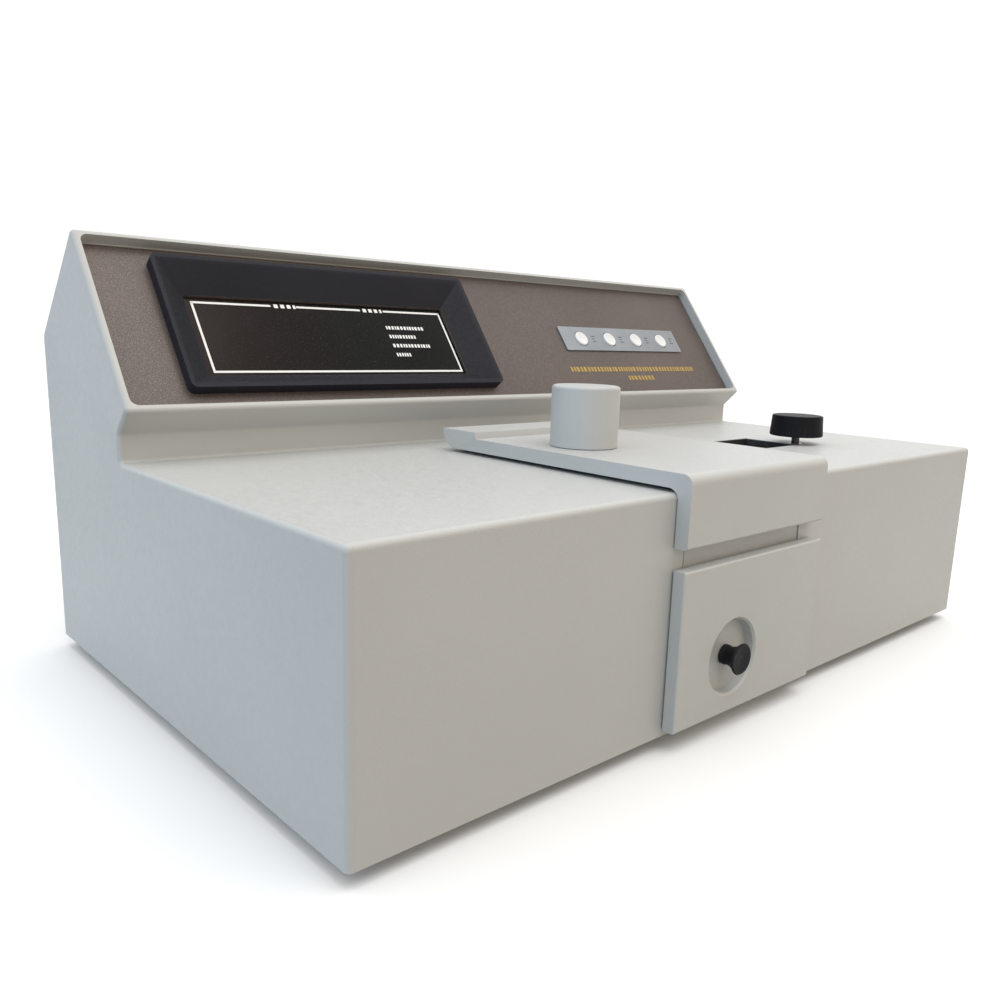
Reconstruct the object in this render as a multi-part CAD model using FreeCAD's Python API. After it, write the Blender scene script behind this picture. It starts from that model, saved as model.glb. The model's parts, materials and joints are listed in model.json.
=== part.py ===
import FreeCAD, Part
import math
import os

# Bench spectrophotometer. Millimetres, +Z up, the front faces -Y, the floor is z = 0.

V = FreeCAD.Vector

# Case
CASE_HALF_W = 211.0
WALL = 3.0
FLOOR_GAP = 6.0
FRONT_Y = -125.5
BACK_Y = 136.5
DECK_Z = 103.6
STEP_Y = 43.6
STEP_Z = 115.1
PANEL_FOOT = (33.1, 125.5)
RIDGE = (86.9, 197.7)
BACK_BEND_Z = 152.9
SIDE_EDGE_R = 2.0
FRONT_EDGE_R = 2.2
RIDGE_R = 2.0
BEND_R = 6.0
SPLIT_X = CASE_HALF_W - WALL
RIM = 2.6

# Sloping display panel, measured along its slope from its foot edge
SLOPE_LENGTH = math.hypot(RIDGE[0] - PANEL_FOOT[0], RIDGE[1] - PANEL_FOOT[1])
SLOPE_DEG = math.degrees(math.atan2(RIDGE[1] - PANEL_FOOT[1], RIDGE[0] - PANEL_FOOT[0]))
PANEL_DEPTH = 5.5
PANEL_T = 1.5
WINDOW_U = (-169.5, -24.5)
WINDOW_S = (19.8, 62.3)
BEZEL_U = (-181.0, -6.6)
BEZEL_S = (10.7, 80.1)
BEZEL_CREST = 1.8
BEZEL_CORNER_R = 3.0
STRIP_U = (61.5, 175.0)
STRIP_S = (35.9, 53.3)
KEY_U = (78.5, 104.8, 131.0, 157.2)
KEY_S = 44.5
KEY_R = 5.0
KEY_GAP = 0.35
KEY_W = (-11.0, -3.8)
KEY_DISH_R = 24.0
KEY_DISH_DEPTH = 0.45

# Sample compartment, its lid and its lower panel
WELL_X = (-61.0, 24.0)
WELL_BACK_Y = 3.0
BOX_WALL = 2.0
BOX_FLOOR_Z = 14.0
LID_X = (-67.7, 32.0)
LID_FRONT_Y = -132.0
LID_T = 6.0
LID_UNDER_Z = 105.3
LIP_BOTTOM_Z = 82.7
RIB_Y = -8.1
RIB_TOP_Z = 114.3
LID_BACK_Y = 15.2
HINGE_Y = 10.5
HINGE_Z = 109.1
HINGE_R = 4.5
HINGE_X = (-50.0, 15.0)
KNUCKLE_HALF = 10.0
PIN_R = 1.5
PANEL_X = (-67.7, 33.0)
PANEL_Z = (9.0, 74.2)
PEG_X = (-55.0, 18.0)
DIMPLE_R = 16.0
DIMPLE_DEPTH = 4.5
PORT_XY = (-40.0, -51.6)
BEAM_Y = -48.5
BEAM_Z = 56.0
CAP_Z = (111.6, 138.6)
CAP_R = (15.2, 15.3)

# Cuvette carriage
ROD_X = -30.7
ROD_Z = 32.9
ROD_R = 2.0
CELL_PITCH = 14.0
CELL_COUNT = 4
CELL_SIDE = 12.7
RAIL_R = 2.5
RAIL_OFFSET = 9.0
CARRIAGE_HALF_W = 13.0
CARRIAGE_Z = (26.0, 76.0)
FIT = 0.05

# Wavelength drive
KNOB_XY = (130.5, -59.6)
KNOB_Z = (108.1, 119.8)
KNOB_R = (14.7, 13.9)
STEM_R = 2.2
SCREW_R = 4.0
ROLLER_R = 3.2
DIAL_R = 48.0
DIAL_XY = (81.0, -45.4)
DIAL_Z = (90.0, 92.0)
SIGHT_X = (92.0, 125.0)
SIGHT_Y = (-64.5, -30.5)
GRATING_Y = 1.0
SHAFT_R = 3.0
GUIDE_XY = (130.5, -75.0)
CASE_X = (30.0, 100.0)
CASE_Y = (-75.0, 118.0)
CASE_Z = (10.0, 84.0)
CASTING_T = 3.0

# Rear panel
REAR_Y = (131.9, 133.4)
REAR_CUT_X = (-164.0, 184.0)
REAR_CUT_Z = (20.0, 104.0)
SOCKET_Z = 45.0
INLET_X = -140.0
FUSE_X = -106.0
SWITCH_X = -74.0
SERIAL_X = 0.0
FAN_XZ = (150.0, 62.0)
FAN_HALF = 30.0

# Screws that hold the cover to the base pan
CASE_SCREW_X = 202.0
CASE_SCREW_Y = (-108.0, 8.0, 118.0)


def box(x0, x1, y0, y1, z0, z1):
    return Part.makeBox(x1 - x0, y1 - y0, z1 - z0, V(x0, y0, z0))


def cyl(radius, start, direction, length):
    return Part.makeCylinder(radius, length, V(*start), V(*direction))


def cone(r0, r1, start, direction, length):
    return Part.makeCone(r0, r1, length, V(*start), V(*direction))


def fuse(shapes):
    whole = shapes[0]
    for shape in shapes[1:]:
        whole = whole.fuse(shape)
    return whole.removeSplitter()


def cut(shape, tools):
    for tool in tools:
        shape = shape.cut(tool)
    return shape


def group(shapes):
    return Part.makeCompound(shapes)


def edges_along(shape, direction):
    found = []
    for edge in shape.Edges:
        if len(edge.Vertexes) != 2:
            continue
        span = edge.Vertexes[1].Point.sub(edge.Vertexes[0].Point)
        if span.Length > 1e-6 and abs(span.normalize().dot(V(*direction))) > 0.999:
            found.append(edge)
    return found


def plate(x0, x1, y0, y1, z0, z1, radius):
    slab = box(x0, x1, y0, y1, z0, z1)
    return slab.makeFillet(radius, edges_along(slab, (0, 0, 1)))


def extrude_profile(points, x0, x1):
    corners = [V(x0, y, z) for y, z in points]
    face = Part.Face(Part.makePolygon(corners + [corners[0]]))
    return face.extrude(V(x1 - x0, 0, 0))


def inset(points, distance):
    moved = []
    count = len(points)
    lines = []
    for i in range(count):
        y0, z0 = points[i]
        y1, z1 = points[(i + 1) % count]
        length = math.hypot(y1 - y0, z1 - z0)
        ny = -(z1 - z0) / length
        nz = (y1 - y0) / length
        lines.append((ny, nz, ny * y0 + nz * z0 + distance))
    for i in range(count):
        a1, b1, c1 = lines[i - 1]
        a2, b2, c2 = lines[i]
        det = a1 * b2 - a2 * b1
        moved.append(((c1 * b2 - c2 * b1) / det, (a1 * c2 - a2 * c1) / det))
    return moved


def on_slope(shape):
    turned = shape.copy()
    turned.rotate(V(0, 0, 0), V(1, 0, 0), SLOPE_DEG)
    turned.translate(V(0, PANEL_FOOT[0], PANEL_FOOT[1]))
    return turned


def edges_at(shape, y, z):
    return [e for e in edges_along(shape, (1, 0, 0))
            if abs(e.Vertexes[0].Y - y) < 0.01 and abs(e.Vertexes[0].Z - z) < 0.01]


def case_profile():
    return [
        (FRONT_Y, FLOOR_GAP),
        (BACK_Y, FLOOR_GAP),
        (BACK_Y, BACK_BEND_Z),
        RIDGE,
        PANEL_FOOT,
        (STEP_Y, STEP_Z),
        (STEP_Y, DECK_Z),
        (FRONT_Y, DECK_Z),
    ]


def case_outside():
    body = extrude_profile(case_profile(), -CASE_HALF_W, CASE_HALF_W)
    rounds = [
        (FRONT_Y, DECK_Z, FRONT_EDGE_R),
        (RIDGE[0], RIDGE[1], RIDGE_R),
        (BACK_Y, BACK_BEND_Z, BEND_R),
        (PANEL_FOOT[0], PANEL_FOOT[1], 1.6),
        (STEP_Y, STEP_Z, 2.0),
        (STEP_Y, DECK_Z, 1.5),
    ]
    for y, z, radius in rounds:
        body = body.makeFillet(radius, edges_at(body, y, z))
    sides = []
    for edge in body.Edges:
        on_side = all(abs(abs(v.X) - CASE_HALF_W) < 0.01 for v in edge.Vertexes)
        low = all(v.Z < FLOOR_GAP + 0.01 for v in edge.Vertexes)
        flat = abs(edge.BoundBox.XLength) < 0.01
        if on_side and flat and not low:
            sides.append(edge)
    return body.makeFillet(SIDE_EDGE_R, sides)


def panel_opening():
    inner_top = SLOPE_LENGTH - WALL
    hole = box(-SPLIT_X, SPLIT_X, RIM, inner_top, -WALL - 2.4, 3.0)
    hole = hole.makeFillet(3.5, edges_along(hole, (0, 0, 1)))
    return on_slope(hole)


def cover_walls(x0, x1):
    profile = inset(case_profile(), WALL)
    profile[0] = (profile[0][0], FLOOR_GAP - 5.0)
    profile[1] = (profile[1][0], FLOOR_GAP - 5.0)
    hollow = extrude_profile(profile, -SPLIT_X, SPLIT_X)
    slice_box = box(x0, x1, FRONT_Y - 5, BACK_Y + 5, 0.0, RIDGE[1] + 5)
    return case_outside().cut(hollow).common(slice_box)


def cover_openings():
    openings = [
        panel_opening(),
        box(WELL_X[0], WELL_X[1], FRONT_Y - 5, WELL_BACK_Y, 13.0, DECK_Z + 5),
        box(SIGHT_X[0], SIGHT_X[1], SIGHT_Y[0], SIGHT_Y[1], DECK_Z - 5, DECK_Z + 5),
        cyl(4.0, (KNOB_XY[0], KNOB_XY[1], DECK_Z - 5), (0, 0, 1), 10),
        box(REAR_CUT_X[0], REAR_CUT_X[1], BACK_Y - 5, BACK_Y + 5, REAR_CUT_Z[0], REAR_CUT_Z[1]),
    ]
    for x in HINGE_X:
        openings.append(box(x - 3.6, x + 3.6, HINGE_Y - 3.6, HINGE_Y + 3.6, DECK_Z - 5, DECK_Z + 5))
    for x, z in rear_screw_points():
        openings.append(cyl(1.55, (x, BACK_Y - 8, z), (0, 1, 0), 5.4))
    return openings


def cover_wrapper():
    whole = cut(cover_walls(-SPLIT_X, SPLIT_X), cover_openings())
    return sorted(whole.Solids, key=lambda solid: solid.BoundBox.YMin)


def cover_shell():
    return cover_wrapper()[0]


def cover_hood():
    return cover_wrapper()[1]


def cheek(side):
    inner, outer = side * SPLIT_X, side * (CASE_HALF_W + 5)
    plate_wall = cover_walls(min(inner, outer), max(inner, outer))
    low, high = sorted((inner, inner - side * 5.0))
    depth = PANEL_DEPTH + PANEL_T
    pieces = [plate_wall, on_slope(box(low, high, 6.0, 82.0, -depth - 5.0, -depth))]
    low, high = sorted((inner, inner - side * 11.0))
    for y in CASE_SCREW_Y:
        pieces.append(box(low, high, y - 6, y + 6, 8.6, 30.0))
    holes = [cyl(1.55, (side * CASE_SCREW_X, y, 5.0), (0, 0, 1), 14.0) for y in CASE_SCREW_Y]
    return cut(fuse(pieces), holes)


def cover_cheeks():
    return group([cheek(-1), cheek(1)])


def case_screw_points():
    return [(side * CASE_SCREW_X, y) for side in (-1, 1) for y in CASE_SCREW_Y]


def rear_screw_points():
    return [(x, z) for x in (-158.0, 10.0, 178.0) for z in (25.0, 99.0)]


def foot_points():
    return [(x, y) for x in (-165.0, 165.0) for y in (-85.0, 95.0)]


def base_pan():
    edge_x = CASE_HALF_W - WALL - 0.4
    pan = plate(-edge_x, edge_x, FRONT_Y + WALL + 0.4, BACK_Y - WALL - 0.4, 6.4, 8.4, 2.0)
    tools = []
    for x, y in case_screw_points():
        tools.append(cyl(1.55, (x, y, 5.0), (0, 0, 1), 5.0))
    for x, y in foot_points():
        tools.append(cyl(1.55, (x, y, 5.0), (0, 0, 1), 5.0))
    for row in range(9):
        y = 10.0 + row * 9.0
        tools.append(box(-186.0, -126.0, y, y + 3.5, 5.0, 10.0))
        tools.append(box(142.0, 196.0, y, y + 3.5, 5.0, 10.0))
    pillars = []
    for x in (-189.0, -117.0):
        for y in (-107.0, 25.0):
            pillars.append(cyl(3.0, (x, y, 8.0), (0, 0, 1), 12.0))
            pillars.append(cyl(1.5, (x, y, 19.0), (0, 0, 1), 4.0))
    return fuse([cut(pan, tools)] + pillars)


def rubber_feet():
    feet = []
    for x, y in foot_points():
        foot = cone(8.5, 10.5, (x, y, 0.0), (0, 0, 1), 6.4)
        hollow = cyl(3.6, (x, y, -1.0), (0, 0, 1), 4.2)
        bolt_hole = cyl(1.55, (x, y, 0.0), (0, 0, 1), 8.0)
        feet.append(cut(foot, [hollow, bolt_hole]))
    return group(feet)


def screw(at, along, head_r, head_h, length):
    step = V(*along)
    start = V(*at)
    head = Part.makeCylinder(head_r, head_h, start, step)
    slot_depth = Part.makeCylinder(head_r * 0.45, head_h * 0.6, start, step)
    shank = Part.makeCylinder(1.5, length, start.add(V(step).multiply(head_h * 0.8)), step)
    return fuse([head.cut(slot_depth), shank])


def case_screws():
    screws = [screw((x, y, 4.4), (0, 0, 1), 2.8, 2.0, 10.0) for x, y in case_screw_points()]
    screws += [screw((x, y, 1.4), (0, 0, 1), 2.8, 1.7, 6.8) for x, y in foot_points()]
    screws += [screw((x, 135.4, z), (0, -1, 0), 2.8, 2.0, 5.0) for x, z in rear_screw_points()]
    return group(screws)


def rear_panel():
    panel = box(REAR_CUT_X[0] - 6, REAR_CUT_X[1] + 6, REAR_Y[0], REAR_Y[1],
                REAR_CUT_Z[0] - 6, REAR_CUT_Z[1] + 6)
    y = REAR_Y[0] - 2
    tools = [
        box(INLET_X - 13.7, INLET_X + 13.7, y, y + 5, SOCKET_Z - 10.2, SOCKET_Z + 10.2),
        cyl(6.2, (FUSE_X, y, SOCKET_Z), (0, 1, 0), 5),
        box(SWITCH_X - 10.7, SWITCH_X + 10.7, y, y + 5, SOCKET_Z - 13.7, SOCKET_Z + 13.7),
        box(SERIAL_X - 9.6, SERIAL_X + 9.6, y, y + 5, SOCKET_Z - 5.6, SOCKET_Z + 5.6),
    ]
    for row in range(9):
        z = FAN_XZ[1] - 25.0 + row * 6.0
        half = math.sqrt(27.0 ** 2 - (z + 1.5 - FAN_XZ[1]) ** 2)
        tools.append(box(FAN_XZ[0] - half, FAN_XZ[0] - 1.5, y, y + 5, z, z + 3.2))
        tools.append(box(FAN_XZ[0] + 1.5, FAN_XZ[0] + half, y, y + 5, z, z + 3.2))
    for x, z in rear_screw_points():
        tools.append(cyl(1.55, (x, y, z), (0, 1, 0), 5))
    return cut(panel, tools)


def display_panel():
    half = CASE_HALF_W - WALL - 0.4
    top = SLOPE_LENGTH - WALL - 0.8
    low = -PANEL_DEPTH - PANEL_T
    panel = plate(-half, half, RIM + 0.3, top, low, -PANEL_DEPTH, 1.5)
    window = box(WINDOW_U[0], WINDOW_U[1], WINDOW_S[0], WINDOW_S[1], -12, 0)
    holes = [cyl(KEY_R + KEY_GAP, (u, KEY_S, -12), (0, 0, 1), 12) for u in KEY_U]
    return on_slope(cut(panel, [window] + holes))


def display_bezel():
    u0, u1 = BEZEL_U
    s0, s1 = BEZEL_S
    block = box(u0, u1, s0, s1, -PANEL_DEPTH, 0.0)
    block = block.makeFillet(BEZEL_CORNER_R, edges_along(block, (0, 0, 1)))
    outer = [
        V(u0 + BEZEL_CREST, s0 + BEZEL_CREST, 0.01),
        V(u1 - BEZEL_CREST, s0 + BEZEL_CREST, 0.01),
        V(u1 - BEZEL_CREST, s1 - BEZEL_CREST, 0.01),
        V(u0 + BEZEL_CREST, s1 - BEZEL_CREST, 0.01),
    ]
    inner = [
        V(WINDOW_U[0], WINDOW_S[0], -PANEL_DEPTH - 0.01),
        V(WINDOW_U[1], WINDOW_S[0], -PANEL_DEPTH - 0.01),
        V(WINDOW_U[1], WINDOW_S[1], -PANEL_DEPTH - 0.01),
        V(WINDOW_U[0], WINDOW_S[1], -PANEL_DEPTH - 0.01),
    ]
    wires = [Part.makePolygon(loop + [loop[0]]) for loop in (inner, outer)]
    funnel = Part.makeLoft(wires, True, True)
    return on_slope(block.cut(funnel))


def display_window():
    pane = plate(WINDOW_U[0] - 3.5, WINDOW_U[1] + 3.5, WINDOW_S[0] - 3.5, WINDOW_S[1] + 3.5,
                 -PANEL_DEPTH - PANEL_T - 2.0, -PANEL_DEPTH - PANEL_T, 1.0)
    return on_slope(pane)


def display_board():
    board = plate(-176.0, 178.0, 14.0, 72.0, -17.6, -16.0, 2.0)
    holes = [cyl(1.6, (u, s, -20), (0, 0, 1), 6) for u in (-172, 0, 174) for s in (18, 68)]
    switches = []
    for u in KEY_U:
        switches.append(box(u - 3, u + 3, KEY_S - 3, KEY_S + 3, -16.1, -13.4))
        switches.append(cyl(1.6, (u, KEY_S, -13.6), (0, 0, 1), 0.9))
    return on_slope(fuse([cut(board, holes)] + switches))


def digit_modules():
    digits = []
    for i in range(4):
        u = -158.0 + i * 21.0
        block = box(u, u + 18.0, 29.0, 55.0, -16.0, -10.2)
        digits.append(block.makeFillet(0.6, edges_along(block, (0, 0, 1))))
    return on_slope(group(digits))


def key_strip():
    strip = plate(STRIP_U[0], STRIP_U[1], STRIP_S[0], STRIP_S[1], -PANEL_DEPTH, -PANEL_DEPTH + 0.9, 0.8)
    return on_slope(cut(strip, [cyl(KEY_R + KEY_GAP, (u, KEY_S, -8), (0, 0, 1), 8) for u in KEY_U]))


def key(u):
    low, high = KEY_W
    cap = cyl(KEY_R, (u, KEY_S, low), (0, 0, 1), high - low)
    top_edges = [e for e in cap.Edges if abs(e.BoundBox.ZMax - high) < 0.01 and e.BoundBox.ZLength < 0.01]
    cap = cap.makeFillet(0.9, top_edges)
    flange = cyl(KEY_R + 1.8, (u, KEY_S, -9.2), (0, 0, 1), 1.4)
    dish = Part.makeSphere(KEY_DISH_R, V(u, KEY_S, high - KEY_DISH_DEPTH + KEY_DISH_R))
    return on_slope(fuse([cap, flange]).cut(dish))


def sample_box():
    x0, x1 = WELL_X[0] - BOX_WALL, WELL_X[1] + BOX_WALL
    y0, y1 = FRONT_Y + 3.2, WELL_BACK_Y + 3.0
    outer = box(x0, x1, y0, y1, BOX_FLOOR_Z, DECK_Z - WALL - 0.3)
    inner = box(x0 + BOX_WALL, x1 - BOX_WALL, y0 + BOX_WALL, y1 - BOX_WALL,
                BOX_FLOOR_Z + BOX_WALL, DECK_Z)
    legs = [box(x - 3, x + 3, y - 3, y + 3, 8.4, BOX_FLOOR_Z + 0.5)
            for x in (x0 + 6, x1 - 6) for y in (y0 + 6, y1 - 6)]
    tools = [
        inner,
        cyl(5.0, (x0 - 1, BEAM_Y, BEAM_Z), (1, 0, 0), x1 - x0 + 2),
        cyl(4.0, (ROD_X, y0 - 1, ROD_Z), (0, 1, 0), 4),
    ]
    return cut(fuse([outer] + legs), tools)


def front_sill():
    sill = box(WELL_X[0] + 1.1, WELL_X[1] - 0.4, FRONT_Y + 0.5, FRONT_Y + 3.2, 58.0, DECK_Z - 3.2)
    return cut(sill, [cyl(2.0, (x, FRONT_Y - 1, 68.0), (0, 1, 0), 8) for x in PEG_X])


def front_panel():
    x0, x1 = PANEL_X
    back = LID_FRONT_Y + LID_T
    slab = box(x0, x1, LID_FRONT_Y, back, PANEL_Z[0], PANEL_Z[1])
    slab = slab.makeFillet(0.8, edges_along(slab, (1, 0, 0)) + edges_along(slab, (0, 0, 1)))
    cup = cyl(DIMPLE_R + 2.0, (ROD_X, LID_FRONT_Y + 2, ROD_Z), (0, 1, 0), DIMPLE_DEPTH - 0.2)
    dimple = cone(DIMPLE_R, DIMPLE_R - 0.6, (ROD_X, LID_FRONT_Y, ROD_Z), (0, 1, 0), DIMPLE_DEPTH)
    lead = cone(DIMPLE_R + 0.8, DIMPLE_R - 0.2, (ROD_X, LID_FRONT_Y - 0.01, ROD_Z), (0, 1, 0), 1.0)
    rod_hole = cyl(ROD_R + 0.6, (ROD_X, LID_FRONT_Y, ROD_Z), (0, 1, 0), 20)
    pegs = [cyl(2.0, (x, back - 0.5, 68.0), (0, 1, 0), 3.0) for x in PEG_X]
    return cut(fuse([slab, cup] + pegs), [dimple, lead, rod_hole])


def rod_bush():
    flange = cyl(6.0, (ROD_X, FRONT_Y + 5.2, ROD_Z), (0, 1, 0), 1.6)
    barrel = cyl(3.9, (ROD_X, FRONT_Y + 2.6, ROD_Z), (0, 1, 0), 4.0)
    bore = cyl(ROD_R + FIT, (ROD_X, FRONT_Y, ROD_Z), (0, 1, 0), 12)
    return fuse([flange, barrel]).cut(bore)


def brass_bushes():
    return group([rod_bush(), shaft_bush()])


def carriage_rails():
    y0 = FRONT_Y + 3.2 + BOX_WALL
    length = WELL_BACK_Y + 3.0 - BOX_WALL - y0
    return group([cyl(RAIL_R, (ROD_X + side * RAIL_OFFSET, y0, ROD_Z), (0, 1, 0), length)
                  for side in (-1, 1)])


def cuvette_carriage():
    y0 = BEAM_Y - CELL_PITCH / 2 - 1.5
    y1 = BEAM_Y + (CELL_COUNT - 0.5) * CELL_PITCH + 1.5
    x0, x1 = ROD_X - CARRIAGE_HALF_W, ROD_X + CARRIAGE_HALF_W
    block = box(x0, x1, y0, y1, CARRIAGE_Z[0], CARRIAGE_Z[1])
    block = block.makeFillet(1.5, edges_along(block, (0, 0, 1)))
    half = CELL_SIDE / 2
    tools = []
    for i in range(CELL_COUNT):
        y = BEAM_Y + i * CELL_PITCH
        tools.append(box(ROD_X - half, ROD_X + half, y - half, y + half, 41.0, 90.0))
        tools.append(cyl(3.5, (x0 - 1, y, BEAM_Z), (1, 0, 0), 2 * CARRIAGE_HALF_W + 2))
    for side in (-1, 1):
        tools.append(cyl(RAIL_R + FIT, (ROD_X + side * RAIL_OFFSET, y0 - 1, ROD_Z), (0, 1, 0), y1 - y0 + 2))
    tools.append(cyl(ROD_R, (ROD_X, y0 - 1, ROD_Z), (0, 1, 0), 13))
    return cut(block, tools)


def pull_rod():
    start = LID_FRONT_Y + 1.5
    end = BEAM_Y - CELL_PITCH / 2 - 1.5 + 12
    return cyl(ROD_R, (ROD_X, start, ROD_Z), (0, 1, 0), end - start)


def pull_knob():
    y_in = LID_FRONT_Y + DIMPLE_DEPTH - 0.3
    y_out = -136.5
    reach = y_in - y_out
    rings = [(0.0, 4.2), (1.6, 4.2), (2.2, 3.9), (3.8, 4.1), (5.4, 4.7), (6.8, 5.6), (7.7, 6.5),
             (reach - 0.6, 6.7), (reach, 6.2)]
    outline = [V(0, 0, 0)] + [V(r, 0, h) for h, r in rings] + [V(0, 0, reach - 0.5)]
    face = Part.Face(Part.makePolygon(outline + [outline[0]]))
    knob = face.revolve(V(0, 0, 0), V(0, 0, 1), 360)
    knob.rotate(V(0, 0, 0), V(1, 0, 0), 90)
    knob.translate(V(ROD_X, y_in, ROD_Z))
    return knob.cut(cyl(ROD_R, (ROD_X, LID_FRONT_Y + 1.5, ROD_Z), (0, 1, 0), 20))


def sample_lid():
    back = LID_FRONT_Y + LID_T
    top = LID_UNDER_Z + LID_T
    profile = [
        (LID_FRONT_Y, LIP_BOTTOM_Z),
        (back, LIP_BOTTOM_Z),
        (back, LID_UNDER_Z),
        (LID_BACK_Y, LID_UNDER_Z),
        (LID_BACK_Y, RIB_TOP_Z),
        (RIB_Y, RIB_TOP_Z),
        (RIB_Y - 0.7, top),
        (LID_FRONT_Y, top),
    ]
    lid = extrude_profile(profile, LID_X[0], LID_X[1])
    lid = lid.makeFillet(4.0, edges_at(lid, LID_FRONT_Y, top))
    lid = lid.makeFillet(4.5, edges_at(lid, back, LID_UNDER_Z))
    lid = lid.makeFillet(1.2, edges_at(lid, LID_FRONT_Y, LIP_BOTTOM_Z))
    lid = lid.makeFillet(8.8, edges_at(lid, LID_BACK_Y, LID_UNDER_Z))
    knuckles = [cyl(HINGE_R, (x - KNUCKLE_HALF, HINGE_Y, HINGE_Z), (1, 0, 0), 2 * KNUCKLE_HALF)
                for x in HINGE_X]
    collar = cyl(13.2, (PORT_XY[0], PORT_XY[1], top - 0.5), (0, 0, 1), 4.5)
    lid = fuse([lid, collar] + knuckles)
    return cut(lid, [cyl(11.0, (PORT_XY[0], PORT_XY[1], LID_UNDER_Z - 1), (0, 0, 1), 20)] + hinge_slots())


def hinge_slots():
    slots = []
    for x in HINGE_X:
        reach = HINGE_Y + HINGE_R + 1
        slots.append(cyl(3.6, (x - 3.6, HINGE_Y, HINGE_Z), (1, 0, 0), 7.2))
        slots.append(box(x - 3.6, x + 3.6, HINGE_Y - 3.6, reach, LID_UNDER_Z - 2, HINGE_Z))
        slots.append(box(x - 3.6, x + 3.6, HINGE_Y, reach, LID_UNDER_Z - 2, HINGE_Z + 3.6))
        slots.append(cyl(PIN_R, (x - 9, HINGE_Y, HINGE_Z), (1, 0, 0), 18))
    return slots


def lid_baffle():
    outer = box(-58.0, 21.0, -116.0, -4.0, 98.5, LID_UNDER_Z)
    outer = outer.makeFillet(3.0, edges_along(outer, (0, 0, 1)))
    return outer.cut(box(-55.0, 18.0, -113.0, -7.0, 97.0, LID_UNDER_Z + 1))


def hinge_pins():
    return group([cyl(PIN_R, (x - 9, HINGE_Y, HINGE_Z), (1, 0, 0), 18) for x in HINGE_X])


def hinge_brackets():
    under = DECK_Z - WALL
    brackets = []
    for x in HINGE_X:
        post = box(x - 3, x + 3, HINGE_Y - 3, HINGE_Y + 3, under - 2.5, HINGE_Z)
        eye = cyl(3.0, (x - 3, HINGE_Y, HINGE_Z), (1, 0, 0), 6)
        foot = box(x - 9, x + 9, HINGE_Y - 3.8, HINGE_Y + 12, under - 2.5, under)
        bore = cyl(PIN_R + FIT, (x - 10, HINGE_Y, HINGE_Z), (1, 0, 0), 20)
        brackets.append(fuse([post, eye, foot]).cut(bore))
    return group(brackets)


def tube_cap():
    x, y = PORT_XY
    height = CAP_Z[1] - CAP_Z[0]
    outer = cone(CAP_R[0], CAP_R[1], (x, y, CAP_Z[0]), (0, 0, 1), height)
    top = [e for e in outer.Edges if e.BoundBox.ZMin > CAP_Z[1] - 0.01]
    outer = outer.makeFillet(1.6, top)
    hollow = cyl(13.6, (x, y, CAP_Z[0] - 1), (0, 0, 1), height - 1.5)
    return outer.cut(hollow)


def beam_lenses():
    left = cyl(6.5, (WELL_X[0] - BOX_WALL - 2.5, BEAM_Y, BEAM_Z), (1, 0, 0), 2.5)
    right = cyl(6.5, (WELL_X[1] + BOX_WALL, BEAM_Y, BEAM_Z), (1, 0, 0), 2.5)
    return group([left, right])


def detector_housing():
    outer = box(-106.0, -67.0, -68.0, -29.0, 36.0, 76.0)
    inner = box(-104.0, -69.0, -66.0, -31.0, 38.0, 74.0)
    port = cyl(6.0, (-72.0, BEAM_Y, BEAM_Z), (1, 0, 0), 8)
    shield = cyl(8.5, (-67.5, BEAM_Y, BEAM_Z), (1, 0, 0), 1.5)
    legs = [box(x - 4, x + 4, -52.0, -45.0, 8.4, 36.5) for x in (-100.0, -73.0)]
    return cut(fuse([outer, shield] + legs), [inner, port])


def photodiode():
    can = cyl(7.0, (-88.0, BEAM_Y, BEAM_Z), (1, 0, 0), 4.5)
    rim = cyl(8.0, (-88.0, BEAM_Y, BEAM_Z), (1, 0, 0), 1.0)
    board = box(-89.6, -88.0, -64.0, -33.0, 40.0, 72.0)
    return fuse([can, rim, board])


def monochromator_case():
    x0, x1 = CASE_X
    y0, y1 = CASE_Y
    t = CASTING_T
    outer = box(x0, x1, y0, y1, CASE_Z[0], CASE_Z[1])
    outer = outer.makeFillet(4.0, edges_along(outer, (0, 0, 1)))
    inner = box(x0 + t, x1 - t, y0 + t, y1 - t, CASE_Z[0] + 4, CASE_Z[1] + 1)
    pillar = box(38.0, 43.0, GRATING_Y - 7, GRATING_Y + 7, 13.0, BEAM_Z + 8)
    posts = [cyl(5.0, (x, y, 8.4), (0, 0, 1), 2.0) for x in (40.0, 90.0) for y in (-62.0, 105.0)]
    body = fuse([outer.cut(inner), pillar] + posts)
    tools = [
        cyl(SHAFT_R + FIT, (36.0, GRATING_Y, BEAM_Z), (1, 0, 0), 70),
        cyl(6.0, (x0 - 1, BEAM_Y, BEAM_Z), (1, 0, 0), 6),
        box(x1 - 4, x1 + 1, 59.4, 60.6, 67.0, 77.0),
    ]
    return cut(body, tools)


def monochromator_cover():
    cover = plate(CASE_X[0], CASE_X[1], CASE_Y[0], CASE_Y[1], CASE_Z[1], CASE_Z[1] + 1.6, 4.0)
    x, y = DIAL_XY
    pin = cyl(2.0, (x, y, CASE_Z[1]), (0, 0, 1), 11.4)
    return fuse([cover, pin, cyl(3.4, (x, y, 94.4), (0, 0, 1), 1.0)])


def fold_mirror(x, y, z, turn):
    glass = box(-8.0, 8.0, -1.5, 1.5, -9.0, 9.0)
    glass.rotate(V(0, 0, 0), V(0, 0, 1), turn)
    glass.translate(V(x, y, z))
    post = cyl(4.0, (x, y, CASE_Z[0] + 4), (0, 0, 1), z - 6.0 - CASE_Z[0] - 4)
    return fuse([glass, post])


def round_mirror(x, z, radius, focus):
    disc = cyl(radius, (x, CASE_Y[1] - CASTING_T - 7, z), (0, 1, 0), 7)
    return disc.cut(Part.makeSphere(focus, V(x, CASE_Y[1] - CASTING_T - 4.0 - focus, z)))


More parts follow.
